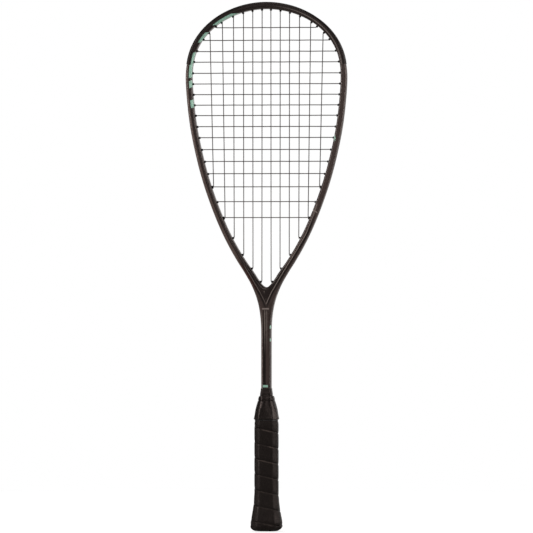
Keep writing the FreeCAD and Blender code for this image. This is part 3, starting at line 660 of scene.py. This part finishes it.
def build_cap():
    # shallow dish in the butt, rounded shoulder, sleeve under the grip, then back down inside
    rings = [level(octagon(3.0, 2.6, 1.0), 0.55)]
    rings += [level(octagon(hx, hy), z) for z, hx, hy in DISH]
    for z in (0.0, 0.12, 0.35, 0.7, 1.1, 1.7, 2.4, 3.3, 4.2, 5.3, 6.1, 6.4):
        rings.append(level(octagon(*sizes(CAP, z), 1.9), z))
    for z in (6.42, 8.0, 12.0, 16.0, 21.0, 27.0, 30.0):
        rings.append(level(octagon(*sizes(GRIP, z, inset=1.8)), z))
    for z in (30.0, 20.0, 12.0, 5.0, 2.6):
        rings.append(level(octagon(*sizes(GRIP, z, inset=3.1), 1.4), z))
    loft = Loft()
    loft.add(rings)
    return new_object("butt_cap_shell", "butt_cap", loft.verts, loft.faces, sharp=50.0)


def build_collar():
    """One closed turned skin: outer cone, rim bead, neck, then the bore."""
    skin = COLLAR_FOOT + sampled(COLLAR_OUT, (147.0, 149.0, 152.0, 154.5, 157.0, 159.5,
                                              162.0, 164.0, 166.0, 168.0))
    skin += COLLAR_BEAD + sampled(COLLAR_NECK, (177.0, 178.5, 180.0, 182.0, 184.0, 184.8))
    skin += COLLAR_TIP
    bore = NECK_BORE + sampled(COLLAR_IN, (171.0, 169.5, 168.0, 166.0, 163.0, 161.0, 159.5,
                                           158.0, 156.5, 153.0, 148.0, 145.3))
    rings = []

    def put(z, hx, hy, bevel, oval):
        outline = rounded(hx, hy, 2.4 + 4.0 * oval, bevel, oval, per_arc=7, per_side=6)
        rings.append(level(outline, z))

    # both skins turn from octagon to oval up the cone, and back to an octagon at the shaft
    for z, hx, hy in skin:
        oval = 0.36 * smooth((z - 146.0) / 6.0) + 0.42 * smooth((z - 156.5) / 5.0)
        put(z, hx, hy, BEVEL - 0.14 * smooth((z - 174.2) / 1.6),
            oval * smooth((179.0 - z) / 12.0))
    for z, hx, hy in bore:
        put(z, hx, hy, BEVEL - 0.17 * smooth((z - 170.5) / 2.0),
            0.72 * smooth((z - 156.5) / 5.0) * smooth((171.0 - z) / 12.0))
    loft = Loft()
    loft.add(rings, closed=True)
    return new_object("collar_sleeve", "rubber_collar", loft.verts, loft.faces,
                      sharp=50.0, body="collar")


shell = build_frame()
guard = build_guard()
strips = []
for part, top, foot in (("side", GUARD_END - 0.6, SIDE_STRIP_FOOT),
                        ("throat", THROAT_STRIP_TOP, GROOVE_END + 0.8)):
    for side_name, side in (("left", -1), ("right", 1)):
        strips.append(build_strip(f"{part}_strip_{side_name}",
                                  f"{side_name}_{part}_grommet_strip", top, foot, side))
grip = build_grip()
butt = build_cap()
collar = build_collar()


# ---------------------------------------------------------------------------
# shader writing
# ---------------------------------------------------------------------------
class Field:
    """A shader value. Arithmetic on it adds Math nodes; | takes the larger of two."""

    def __init__(self, shader, socket):
        self.shader, self.socket = shader, socket

    def __add__(self, other):
        return self.shader.math("ADD", self, other)

    def __sub__(self, other):
        return self.shader.math("SUBTRACT", self, other)

    def __rsub__(self, other):
        return self.shader.math("SUBTRACT", other, self)

    def __mul__(self, other):
        return self.shader.math("MULTIPLY", self, other)

    def __truediv__(self, other):
        return self.shader.math("DIVIDE", self, other)

    def __or__(self, other):
        return self.shader.math("MAXIMUM", self, other)

    def __abs__(self):
        return self.shader.math("ABSOLUTE", self)


class Shader:
    """Small node-tree writer for one material."""

    def __init__(self, name):
        self.material = bpy.data.materials.new(name)
        self.material.use_nodes = True
        self.tree = self.material.node_tree
        self.surface = self.tree.nodes["Principled BSDF"]
        self.place = Field(self, self.node("TexCoord").outputs["Object"])

    def put(self, value, socket):
        """Link a field, or set a number or an RGB colour; None leaves the socket alone."""
        if isinstance(value, Field):
            self.tree.links.new(value.socket, socket)
        elif isinstance(value, tuple) and socket.type == "RGBA":
            socket.default_value = (*value, 1.0)
        elif value is not None:
            socket.default_value = value

    def fill(self, node, inputs):
        for key, value in inputs.items():
            self.put(value, node.inputs[key.replace("_", " ")])

    def node(self, kind, **inputs):
        node = self.tree.nodes.new("ShaderNode" + kind)
        self.fill(node, inputs)
        return node

    def math(self, operation, a, b=0.0):
        node = self.node("Math")
        node.operation = operation
        for socket, value in zip(node.inputs, (a, b, 0.0)):
            self.put(value, socket)
        return Field(self, node.outputs[0])

    def ramp(self, x, over, to=(0.0, 1.0)):
        """Clamped straight ramp over a range of x."""
        node = self.node("MapRange", Value=x, From_Min=over[0], From_Max=over[1],
                         To_Min=to[0], To_Max=to[1])
        node.clamp = True
        return Field(self, node.outputs["Result"])

    def band(self, x, between, soft=0.25):
        """1 between the two values, each edge spread by `soft` either way."""
        low, high = between
        return (self.ramp(x, over=(low - soft, low + soft))
                * self.ramp(x, over=(high - soft, high + soft), to=(1, 0)))

    def attribute(self, name):
        node = self.node("Attribute")
        node.attribute_name = name
        return Field(self, node.outputs["Fac"])

    def axes(self, names):
        """Object coordinates in mm."""
        split = self.node("SeparateXYZ", Vector=self.place)
        return [Field(self, split.outputs[name]) * 1000.0 for name in names]

    def noise(self, scale, detail=3.0, rough=0.55, stretch=None):
        vector = self.place
        if stretch:
            mapping = self.node("Mapping", Vector=vector)
            mapping.inputs["Scale"].default_value = stretch
            vector = Field(self, mapping.outputs[0])
        node = self.node("TexNoise", Vector=vector, Scale=scale, Detail=detail, Roughness=rough)
        return Field(self, node.outputs["Fac"])

    def cells(self, scale):
        node = self.node("TexVoronoi", Vector=self.place, Scale=scale)
        return Field(self, node.outputs["Distance"])

    def mix(self, share, a, b):
        node = self.node("Mix")
        node.data_type = "RGBA"
        for i, value in ((0, share), (6, a), (7, b)):
            self.put(value, node.inputs[i])
        return Field(self, node.outputs[2])

    def layer(self, base, colour, mask, amount):
        return self.mix(mask * amount, base, colour)

    def bump(self, height, distance, strength, under=None):
        node = self.node("Bump", Height=height, Distance=distance, Strength=strength,
                         Normal=under)
        return Field(self, node.outputs[0])

    def finish(self, **inputs):
        """Set the surface's inputs and hand back the material."""
        self.fill(self.surface, inputs)
        return self.material


def srgb(*rgb):
    return tuple(((v / 255.0 + 0.055) / 1.055) ** 2.4 if v > 10 else v / 255.0 / 12.92
                 for v in rgb)


TINT = (1.0, 0.86, 0.81)                # warm tint of the highlights
DARK, BLACK = srgb(36, 30, 29), srgb(9, 7, 8)
FALL = (1, 0)                           # ramps running down


# ---------------------------------------------------------------------------
# frame paint; heights and widths in mm
# ---------------------------------------------------------------------------
def livery_places(m):
    """Fields and 0..1 masks the livery is laid out by; it turns half round for the back."""
    x, y, z = m.axes("XYZ")
    front = m.ramp(y, over=(-0.3, 0.3), to=FALL)
    seen_x = x * (front * 2.0 - 1.0)                # x as seen from the face in question
    left = m.math("LESS_THAN", seen_x, 0.0)
    depth = abs(y)
    return SimpleNamespace(
        x=x, z=z, across=m.attribute("across"), front=front, seen_x=seen_x,
        left=left, right=1.0 - left, depth=depth, face=m.ramp(depth, over=(5.5, 8.5)),
        head=m.ramp(z, over=(300.0, 330.0)), shaft=1.0 - m.ramp(z, over=(262.0, 300.0)))


def ground_colours(m, p):
    """Browns and blacks of the lacquer."""
    drift = m.ramp(m.noise(scale=16.0, detail=2.0, rough=0.5, stretch=(1, 1, 0.35)),
                   over=(0.35, 0.65))
    base = m.mix(drift, srgb(72, 62, 59), srgb(82, 71, 68))
    ramp, band, z, across, seen_x = m.ramp, m.band, p.z, p.across, p.seen_x
    band_right = (band(m.attribute("pinr"), between=(-2.9, -0.3), soft=0.3)
                  * band(z, between=(288.0, 405.0), soft=8.0))
    band_left = (band(m.attribute("pinl"), between=(0.3, 3.0), soft=0.3)
                 * band(z, between=(288.0, 352.0), soft=8.0))
    for colour, amount, mask in (
            # inner part of the left limb, then of the right
            (DARK, 0.8, ramp(across, over=(3.6, 4.1), to=FALL) * p.left * p.head),
            (DARK, 0.65, ramp(across, over=(1.6, 2.8), to=FALL) * p.right * p.head),
            # fine line along the left limb, and a painted highlight over the part outside it
            (BLACK, 0.9, band(across, between=(3.5, 4.3)) * p.left * p.head),
            (srgb(112, 98, 93), 0.8, ramp(across, over=(4.3, 4.8)) * p.left
             * (p.head * ramp(z, over=(596.0, 606.0), to=FALL))),
            # crown of the head
            (DARK, 0.45, ramp(z, over=(596.0, 640.0))),
            # vee between the two legs
            (BLACK, 0.8, ramp(m.attribute("veein"), over=(-0.4, 0.8))
             * band(z, between=(280.0, 345.0), soft=6.0)),
            # shaft: a painted dark reflection on the panel left of the middle, painted shade on
            # the right edge, a painted highlight on the left edge
            (BLACK, 0.95, band(seen_x, between=(-3.9, -0.2), soft=0.35) * p.shaft
             * ramp(z, over=(246.0, 286.0), to=(1.0, 0.55))),
            (BLACK, 0.9, ramp(seen_x, over=(3.4, 4.6)) * p.shaft),
            (srgb(104, 90, 85), 0.7, ramp(seen_x, over=(-4.4, -4.0), to=FALL) * p.shaft),
            # bands outside the two pinstripes
            (BLACK, 0.9, (band_right | band_left) * p.front),
            # warm tint low on the outside of the left leg
            (srgb(92, 52, 44), 0.5, band(z, between=(318.0, 352.0), soft=8.0) * p.left
             * ramp(across, over=(5.5, 8.0)))):
        base = m.layer(base, colour, mask, amount)
    return base


def mint_marks(m, p):
    """Mask of the mint marks."""
    slanted_z = p.z + p.across * 0.35
    blocks = None
    for between in ((656.5, 671.5), (634.0, 647.0), (588.5, 621.0), (575.5, 584.6),
                    (549.5, 559.5)):
        block = m.band(slanted_z, between, soft=0.3)
        blocks = blocks | block if blocks else block
    blocks = blocks * m.ramp(p.across, over=(3.3, 3.6), to=FALL) * p.left
    # one fainter, steeper block on the right limb
    tick = (m.band(p.z + p.across * 1.9, between=(509.5, 514.5), soft=0.3)
            * (p.right * m.ramp(p.across, over=(2.4, 2.8), to=FALL)))
    # two chips on the shaft's right edge and a bar above the collar
    chips = ((m.band(p.z, between=(262.5, 266.5)) | m.band(p.z, between=(246.0, 249.8)))
             * (m.ramp(p.seen_x, over=(5.0, 5.3)) * m.ramp(p.depth, over=(5.8, 6.2))))
    bar = (m.band(p.z, between=(186.4, 189.4), soft=0.3)
           * m.band(p.seen_x, between=(-3.9, 2.6), soft=0.3))
    return (blocks | tick * 0.75) | (chips | bar * 0.85)


def pale_lines(m, p):
    """Mask of the pinstripes and short bars."""
    z, seen_x = p.z, p.seen_x
    on_face = m.math("GREATER_THAN", p.depth, 6.6)

    def line(distance, over):
        return m.ramp(distance, over, to=FALL)

    right = (line(abs(m.attribute("pinr")), over=(0.3, 0.6))
             * m.band(z, between=(294.5, 424.0), soft=1.0))
    left = (line(abs(m.attribute("pinl")), over=(0.26, 0.5))
            * m.band(z, between=(294.5, 342.0), soft=4.0))
    vee = (line(m.attribute("veel"), over=(0.3, 0.55))
           * m.band(z, between=(300.0, 313.0), soft=1.0))
    stripes = ((right * 0.8 | left * 0.5) | vee * 0.6) * (on_face * p.front)
    wedge = (line(abs(m.attribute("wedge")), over=(0.5, 0.9))
             * (m.band(seen_x, between=(60.4, 66.8), soft=0.4)
                * (p.front * m.band(z, between=(409.0, 420.0)))))
    # bar across the top of the shaft, with two thin lines running down from it
    bar = (m.band(z, between=(287.4, 289.0), soft=0.35)
           * m.band(seen_x, between=(-5.0, 4.0), soft=0.5))
    thin = (line(abs(seen_x + 1.4), over=(0.25, 0.5))
            | line(abs(seen_x + -1.2), over=(0.25, 0.5)) * 0.7)
    thin = thin * (m.ramp(z, over=(228.0, 262.0), to=(0.0, 0.95))
                   * m.ramp(z, over=(286.0, 287.0), to=FALL))
    return stripes | ((bar * 0.95 | thin) * on_face | wedge * 0.9)


def paint_material():
    m = Shader("lacquered_carbon")
    p = livery_places(m)
    base = ground_colours(m, p)
    # fine weave and flakes under the lacquer
    per_mm = 2 * math.pi / 0.9                      # weave pitch of 0.9 mm
    weave = m.math("SINE", (p.z + p.x) * per_mm) * m.math("SINE", (p.z - p.x) * per_mm) * p.face
    base = m.mix(m.ramp(weave, over=(-1, 1), to=(0.0, 0.05)), base, srgb(120, 104, 98))
    flakes = m.ramp(m.noise(scale=2600.0, detail=1.0), over=(0.64, 0.76))
    base = m.layer(base, srgb(150, 140, 132), flakes, amount=0.12)
    mint = mint_marks(m, p)
    base = m.mix(mint, base, srgb(196, 255, 232))
    base = m.mix(pale_lines(m, p), base, srgb(168, 158, 152))
    # wear: rubbed edges and faint scratches along the beam
    edge = m.band(p.depth, between=(7.4, 9.1), soft=0.7)
    rub = m.ramp(m.noise(scale=160.0, detail=4.0, rough=0.6, stretch=(1, 1, 0.3)),
                 over=(0.52, 0.75))
    base = m.layer(base, srgb(112, 100, 94), edge * rub, amount=0.2)
    scratch = m.ramp(m.noise(scale=90.0, detail=2.0, rough=0.5, stretch=(9, 9, 0.6)),
                     over=(0.66, 0.72))
    rough = m.ramp(m.noise(scale=70.0), over=(0.3, 0.7), to=(0.24, 0.34)) + scratch * 0.12
    normal = m.bump(weave, distance=0.00001, strength=0.15)
    normal = m.bump(m.noise(scale=240.0), distance=0.00004, strength=0.35, under=normal)
    return m.finish(Base_Color=base, Roughness=rough - mint * 0.04, Normal=normal,
                    Specular_Tint=TINT, Coat_Weight=0.25, Coat_Roughness=0.2)


# ---------------------------------------------------------------------------
# other materials
# ---------------------------------------------------------------------------
def guard_material():
    m = Shader("moulded_nylon_guard")
    [y] = m.axes("Y")
    scuff = m.ramp(m.noise(scale=55.0, detail=5.0, rough=0.65, stretch=(1, 1, 1)),
                   over=(0.55, 0.72))
    colour = m.layer(srgb(14, 11, 12), srgb(50, 44, 44), scuff, amount=0.35)
    from_edge = m.attribute("fromedge")
    on_face = m.ramp(abs(y), over=(6.0, 8.0))
    inner_band = m.ramp(from_edge, over=(2.2, 5.2)) * on_face
    colour = m.layer(colour, srgb(42, 36, 36), inner_band, amount=0.8)
    # painted highlight along the flange's lip, stronger towards +X
    [x] = m.axes("X")
    lip_highlight = (m.band(from_edge, between=(4.7, 5.95), soft=0.2)
           * (on_face * m.ramp(x, over=(5.0, 52.0), to=(0.05, 1.0))))
    colour = m.layer(colour, srgb(150, 142, 138), lip_highlight, amount=0.75)
    barrels = m.math("GREATER_THAN", from_edge, BARREL_MARK - 0.5)
    colour = m.mix(barrels, colour, srgb(6, 5, 5))
    sides = m.ramp(abs(y), over=(4.0, 8.5))
    colour = m.layer(colour, srgb(44, 39, 39), sides, amount=0.05)
    normal = m.bump(m.cells(scale=1700.0), distance=0.00006, strength=0.4)
    normal = m.bump(m.noise(scale=120.0, detail=5.0, rough=0.6, stretch=(2, 1, 2)),
                    distance=0.00005, strength=0.3, under=normal)
    return m.finish(Base_Color=colour, Roughness=m.ramp(scuff, over=(0, 1), to=(0.42, 0.6)),
                    Normal=normal, Specular_IOR_Level=0.4, Specular_Tint=TINT)


def grommet_material():
    m = Shader("moulded_nylon_grommet")
    fine = m.noise(scale=900.0)
    colour = m.mix(m.ramp(m.noise(scale=120.0), over=(0.4, 0.7)), srgb(5, 4, 4),
                   srgb(12, 10, 10))
    return m.finish(Base_Color=colour, Roughness=m.ramp(fine, over=(0.3, 0.7), to=(0.42, 0.55)),
                    Normal=m.bump(fine, distance=0.00005, strength=0.5),
                    Specular_IOR_Level=0.35)


def string_material():
    m = Shader("braided_string")
    x, y, z = m.axes("XYZ")
    lean, per_mm = 2.0, 6.2                         # slant and frequency of the braid
    twist = (m.math("SINE", (x + z + y * lean) * per_mm)
             | m.math("SINE", (x + z - y * lean) * per_mm))
    colour = m.mix(m.ramp(twist, over=(0.2, 1.0), to=(0.0, 0.5)), srgb(88, 83, 82),
                   srgb(120, 115, 113))
    # paler towards the throat
    colour = m.mix(m.ramp(z, over=(330.0, 470.0), to=(0.75, 0.0)), colour, srgb(146, 140, 137))
    rough = m.ramp(m.noise(scale=400.0), over=(0.3, 0.7), to=(0.28, 0.42))
    return m.finish(Base_Color=colour, Roughness=rough,
                    Normal=m.bump(twist, distance=0.00005, strength=0.6), Coat_Weight=0.15)


def grip_material():
    m = Shader("pu_grip")
    x, y, z = m.axes("XYZ")
    angle = m.math("ARCTAN2", x, y * -1.0)          # 0 at the front
    turns = (z - FRONT_Z + angle * (PITCH / (2 * math.pi))) / PITCH
    above_seam = m.math("FRACT", turns) * PITCH
    # perforations: rows set parallel to the tape, staggered
    spacing, mean_radius, stagger = 2.9, 15.0, 1.0
    across = above_seam / spacing
    along = angle * mean_radius / spacing
    shift = m.math("FRACT", m.math("FLOOR", across) * 0.5) * stagger
    px = m.math("FRACT", along + shift) - 0.5
    py = m.math("FRACT", across) - 0.5
    pin = (m.ramp(m.math("SQRT", px * px + py * py), over=(0.10, 0.17), to=FALL)
           * m.band(above_seam, between=(2.6, 17.6), soft=0.2))
    seam = m.ramp(above_seam, over=(0.0, 0.7), to=FALL)
    # painted highlight on the upper edge of each turn, clearest high up and in the middle
    lip_highlight = (m.band(above_seam, between=(PITCH - 1.7, PITCH - 0.3), soft=0.35)
           * m.ramp(m.noise(scale=110.0), over=(0.4, 0.6), to=(0.1, 1.0)))
    lip_highlight = lip_highlight * (m.ramp(z, over=(70.0, 112.0), to=(0.3, 1.0))
                 * m.ramp(abs(x), over=(9.0, 11.5), to=(1.0, 0.25)))
    worn = m.ramp(m.noise(scale=60.0, detail=4.0), over=(0.45, 0.7))
    colour = m.layer(srgb(12, 9, 8), srgb(24, 19, 17), worn, amount=0.4)
    colour = m.layer(colour, srgb(9, 7, 7), seam, amount=0.6)
    colour = m.layer(colour, srgb(5, 4, 4), pin, amount=0.8)
    # last layer: the painted highlight on each turn's upper edge
    colour = m.layer(colour, srgb(92, 82, 77), lip_highlight, amount=0.75)
    normal = m.bump(pin * -1.0, distance=0.00045, strength=0.8)
    normal = m.bump(m.cells(scale=900.0), distance=0.00018, strength=0.6, under=normal)
    normal = m.bump(m.noise(scale=1500.0, detail=4.0, rough=0.6), distance=0.00008,
                    strength=0.5, under=normal)
    rough = m.ramp(worn, over=(0, 1), to=(0.52, 0.42)) - lip_highlight * 0.1
    return m.finish(Base_Color=colour, Roughness=rough, Normal=normal, Specular_IOR_Level=0.4,
                    Specular_Tint=TINT)


def rubber_material():
    m = Shader("moulded_rubber")
    [z] = m.axes("Z")
    dust = m.ramp(m.noise(scale=80.0, detail=4.0), over=(0.5, 0.75))
    colour = m.layer(srgb(11, 8, 7), srgb(26, 21, 19), dust, amount=0.4)
    normal = m.bump(m.noise(scale=700.0, detail=4.0, rough=0.6), distance=0.00007, strength=0.6)
    rings_per_mm = 9.0
    normal = m.bump(m.math("SINE", z * rings_per_mm), distance=0.00002, strength=0.4,
                    under=normal)
    return m.finish(Base_Color=colour, Roughness=m.ramp(dust, over=(0, 1), to=(0.36, 0.46)),
                    Normal=normal, Specular_IOR_Level=0.5, Specular_Tint=TINT)


def cap_material():
    m = Shader("moulded_cap")
    rub = m.ramp(m.noise(scale=90.0, detail=4.0), over=(0.5, 0.72))
    [z] = m.axes("Z")
    low = m.ramp(z, over=(0.0, 3.0), to=FALL)
    colour = m.layer(srgb(12, 9, 8), srgb(58, 51, 47), rub * low, amount=0.7)
    return m.finish(Base_Color=colour, Roughness=m.ramp(rub, over=(0, 1), to=(0.42, 0.55)),
                    Normal=m.bump(m.cells(scale=1100.0), distance=0.0001, strength=0.6),
                    Specular_Tint=TINT)


def foam_material():
    m = Shader("pu_foam")
    colour = m.mix(m.ramp(m.noise(scale=50.0), over=(0.3, 0.7)), srgb(198, 182, 142),
                   srgb(176, 158, 120))
    return m.finish(Base_Color=colour, Roughness=0.85,
                    Normal=m.bump(m.cells(scale=1500.0), distance=0.0002, strength=0.8))


def streaked_material(name, scale, stretch, colours, rough, distance, strength, **inputs):
    """One stretched noise drives colour, roughness and relief."""
    m = Shader(name)
    streak = m.noise(scale=scale, rough=0.5, stretch=stretch)
    return m.finish(Base_Color=m.mix(m.ramp(streak, over=(0.3, 0.7)), *colours),
                    Roughness=m.ramp(streak, over=(0.3, 0.7), to=rough),
                    Normal=m.bump(streak, distance, strength), **inputs)


paint, nylon, grommet = paint_material(), guard_material(), grommet_material()
string, wrap, rubber = string_material(), grip_material(), rubber_material()
cap_plastic, foam = cap_material(), foam_material()
vinyl = streaked_material("vinyl_tape", scale=500.0, stretch=(1, 1, 5), rough=(0.36, 0.5),
                          colours=(srgb(28, 26, 27), srgb(44, 42, 42)),
                          distance=0.00004, strength=0.6)
steel = streaked_material("steel_wire", scale=900.0, stretch=(1, 6, 6), rough=(0.28, 0.4),
                          colours=(srgb(150, 150, 152), srgb(186, 186, 188)),
                          distance=0.00003, strength=0.5, Metallic=1.0)

for ob, material in ((shell, paint), (guard, nylon), (grip, wrap), (butt, cap_plastic),
                     (collar, rubber), *((strip, grommet) for strip in strips)):
    ob.data.materials.clear()
    ob.data.materials.append(material)
# CAD pieces that are kept as they are
for node, material in (("main_string", string), ("cross_string", string),
                       ("handle_pallet", foam), ("shaft_end_plugs", foam),
                       ("butt_cap_staples", steel), ("grip_start_tack", steel),
                       ("finishing_tape", vinyl)):
    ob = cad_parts[node]
    for slot in ob.material_slots:
        slot.material = material
    if not ob.material_slots:
        ob.data.materials.append(material)

# ---------------------------------------------------------------------------
# stage, light and camera; metres and watts
# ---------------------------------------------------------------------------
scene = bpy.context.scene
scene.view_settings.view_transform = "Standard"
scene.view_settings.look = "None"
scene.view_settings.exposure = 0.0
scene.view_settings.gamma = 1.0
WARM = (1.0, 0.93, 0.90)


def build_world():
    """White to the camera; dim and warm to the scene, brighter in reflections from behind."""
    ambient, behind, behind_glossy = 0.05, 0.05, 0.42
    world = bpy.data.worlds.new("studio")
    scene.world = world
    world.use_nodes = True
    nodes, links = world.node_tree.nodes, world.node_tree.links
    nodes.clear()

    def math_node(operation, a, b):
        node = nodes.new("ShaderNodeMath")
        node.operation = operation
        for i, value in enumerate((a, b)):
            if isinstance(value, float):
                node.inputs[i].default_value = value
            else:
                links.new(value, node.inputs[i])
        return node.outputs[0]

    rays = nodes.new("ShaderNodeLightPath")
    split = nodes.new("ShaderNodeSeparateXYZ")
    links.new(nodes.new("ShaderNodeTexCoord").outputs["Generated"], split.inputs[0])
    fade = nodes.new("ShaderNodeMapRange")
    fade.inputs["From Min"].default_value = 0.45
    fade.inputs["From Max"].default_value = 0.8
    links.new(split.outputs[1], fade.inputs["Value"])
    gloss = math_node("MULTIPLY", rays.outputs["Is Glossy Ray"], behind_glossy)
    gloss = math_node("ADD", gloss, behind)
    glow = math_node("MULTIPLY", fade.outputs["Result"], gloss)
    soft = nodes.new("ShaderNodeBackground")
    soft.inputs[0].default_value = (*WARM, 1.0)
    links.new(math_node("ADD", glow, ambient), soft.inputs[1])
    white = nodes.new("ShaderNodeBackground")
    white.inputs[0].default_value = (1.0, 1.0, 1.0, 1.0)
    white.inputs[1].default_value = 1.0
    mixer = nodes.new("ShaderNodeMixShader")
    links.new(rays.outputs["Is Camera Ray"], mixer.inputs[0])
    links.new(soft.outputs[0], mixer.inputs[1])
    links.new(white.outputs[0], mixer.inputs[2])
    links.new(mixer.outputs[0], nodes.new("ShaderNodeOutputWorld").inputs[0])


def build_floor():
    """Round floor just under the butt, which glows to the camera alone."""
    bm = bmesh.new()
    bmesh.ops.create_circle(bm, cap_ends=True, cap_tris=False, segments=128, radius=1.1)
    mesh = bpy.data.meshes.new("floor")
    bm.to_mesh(mesh)
    bm.free()
    floor = bpy.data.objects.new("floor", mesh)
    floor.location = (0, 0, -0.0004)
    scene.collection.objects.link(floor)
    m = Shader("pale_floor")
    seen = Field(m, m.node("LightPath").outputs["Is Camera Ray"])
    rough = m.ramp(m.noise(scale=30.0), over=(0.3, 0.7), to=(0.8, 0.9))
    floor.data.materials.append(m.finish(
        Base_Color=(0.5, 0.5, 0.5), Roughness=rough, Emission_Color=(1, 1, 1),
        Emission_Strength=seen * 0.8))


def area(name, place, aim_z, size, power, colour=(1, 1, 1)):
    """Rectangular light aimed at a height on the racket's axis."""
    light = bpy.data.lights.new(name, "AREA")
    light.shape, light.energy, light.color = "RECTANGLE", power, colour
    light.size, light.size_y = size
    ob = bpy.data.objects.new(name, light)
    ob.location = place
    aim = Vector((0, 0, aim_z)) - Vector(place)
    ob.rotation_euler = aim.to_track_quat("-Z", "Y").to_euler()
    scene.collection.objects.link(ob)


def build_camera():
    sensor, view_width = 36.0, 0.6914               # mm; metres seen at the racket
    distance, height, turn = 6.0, 0.3430, math.radians(5.0)
    camera = bpy.data.cameras.new("camera")
    camera.sensor_width = sensor
    camera.lens = sensor * distance / view_width
    camera.clip_end = 50.0
    ob = bpy.data.objects.new("camera", camera)
    scene.collection.objects.link(ob)
    ob.location = (math.sin(turn) * distance, -math.cos(turn) * distance, height)
    ob.rotation_euler = (math.radians(90), 0, turn)
    scene.camera = ob


build_world()
build_floor()
area("key", (-2.5, -1.42, 1.0), aim_z=0.36, size=(0.6, 2.2), power=33.0, colour=WARM)
area("side", (2.75, -0.75, 0.8), aim_z=0.36, size=(0.9, 2.2), power=28.0, colour=WARM)
area("front", (0.3, -3.2, 1.5), aim_z=0.35, size=(1.2, 0.8), power=11.0, colour=WARM)
area("top", (0.0, -0.6, 2.6), aim_z=0.4, size=(1.4, 0.8), power=9.0, colour=WARM)
area("back", (-0.9, 2.6, 1.2), aim_z=0.35, size=(1.0, 1.8), power=14.0)
area("back_side", (2.0, 1.7, 0.9), aim_z=0.35, size=(0.5, 2.0), power=7.0)
build_camera()

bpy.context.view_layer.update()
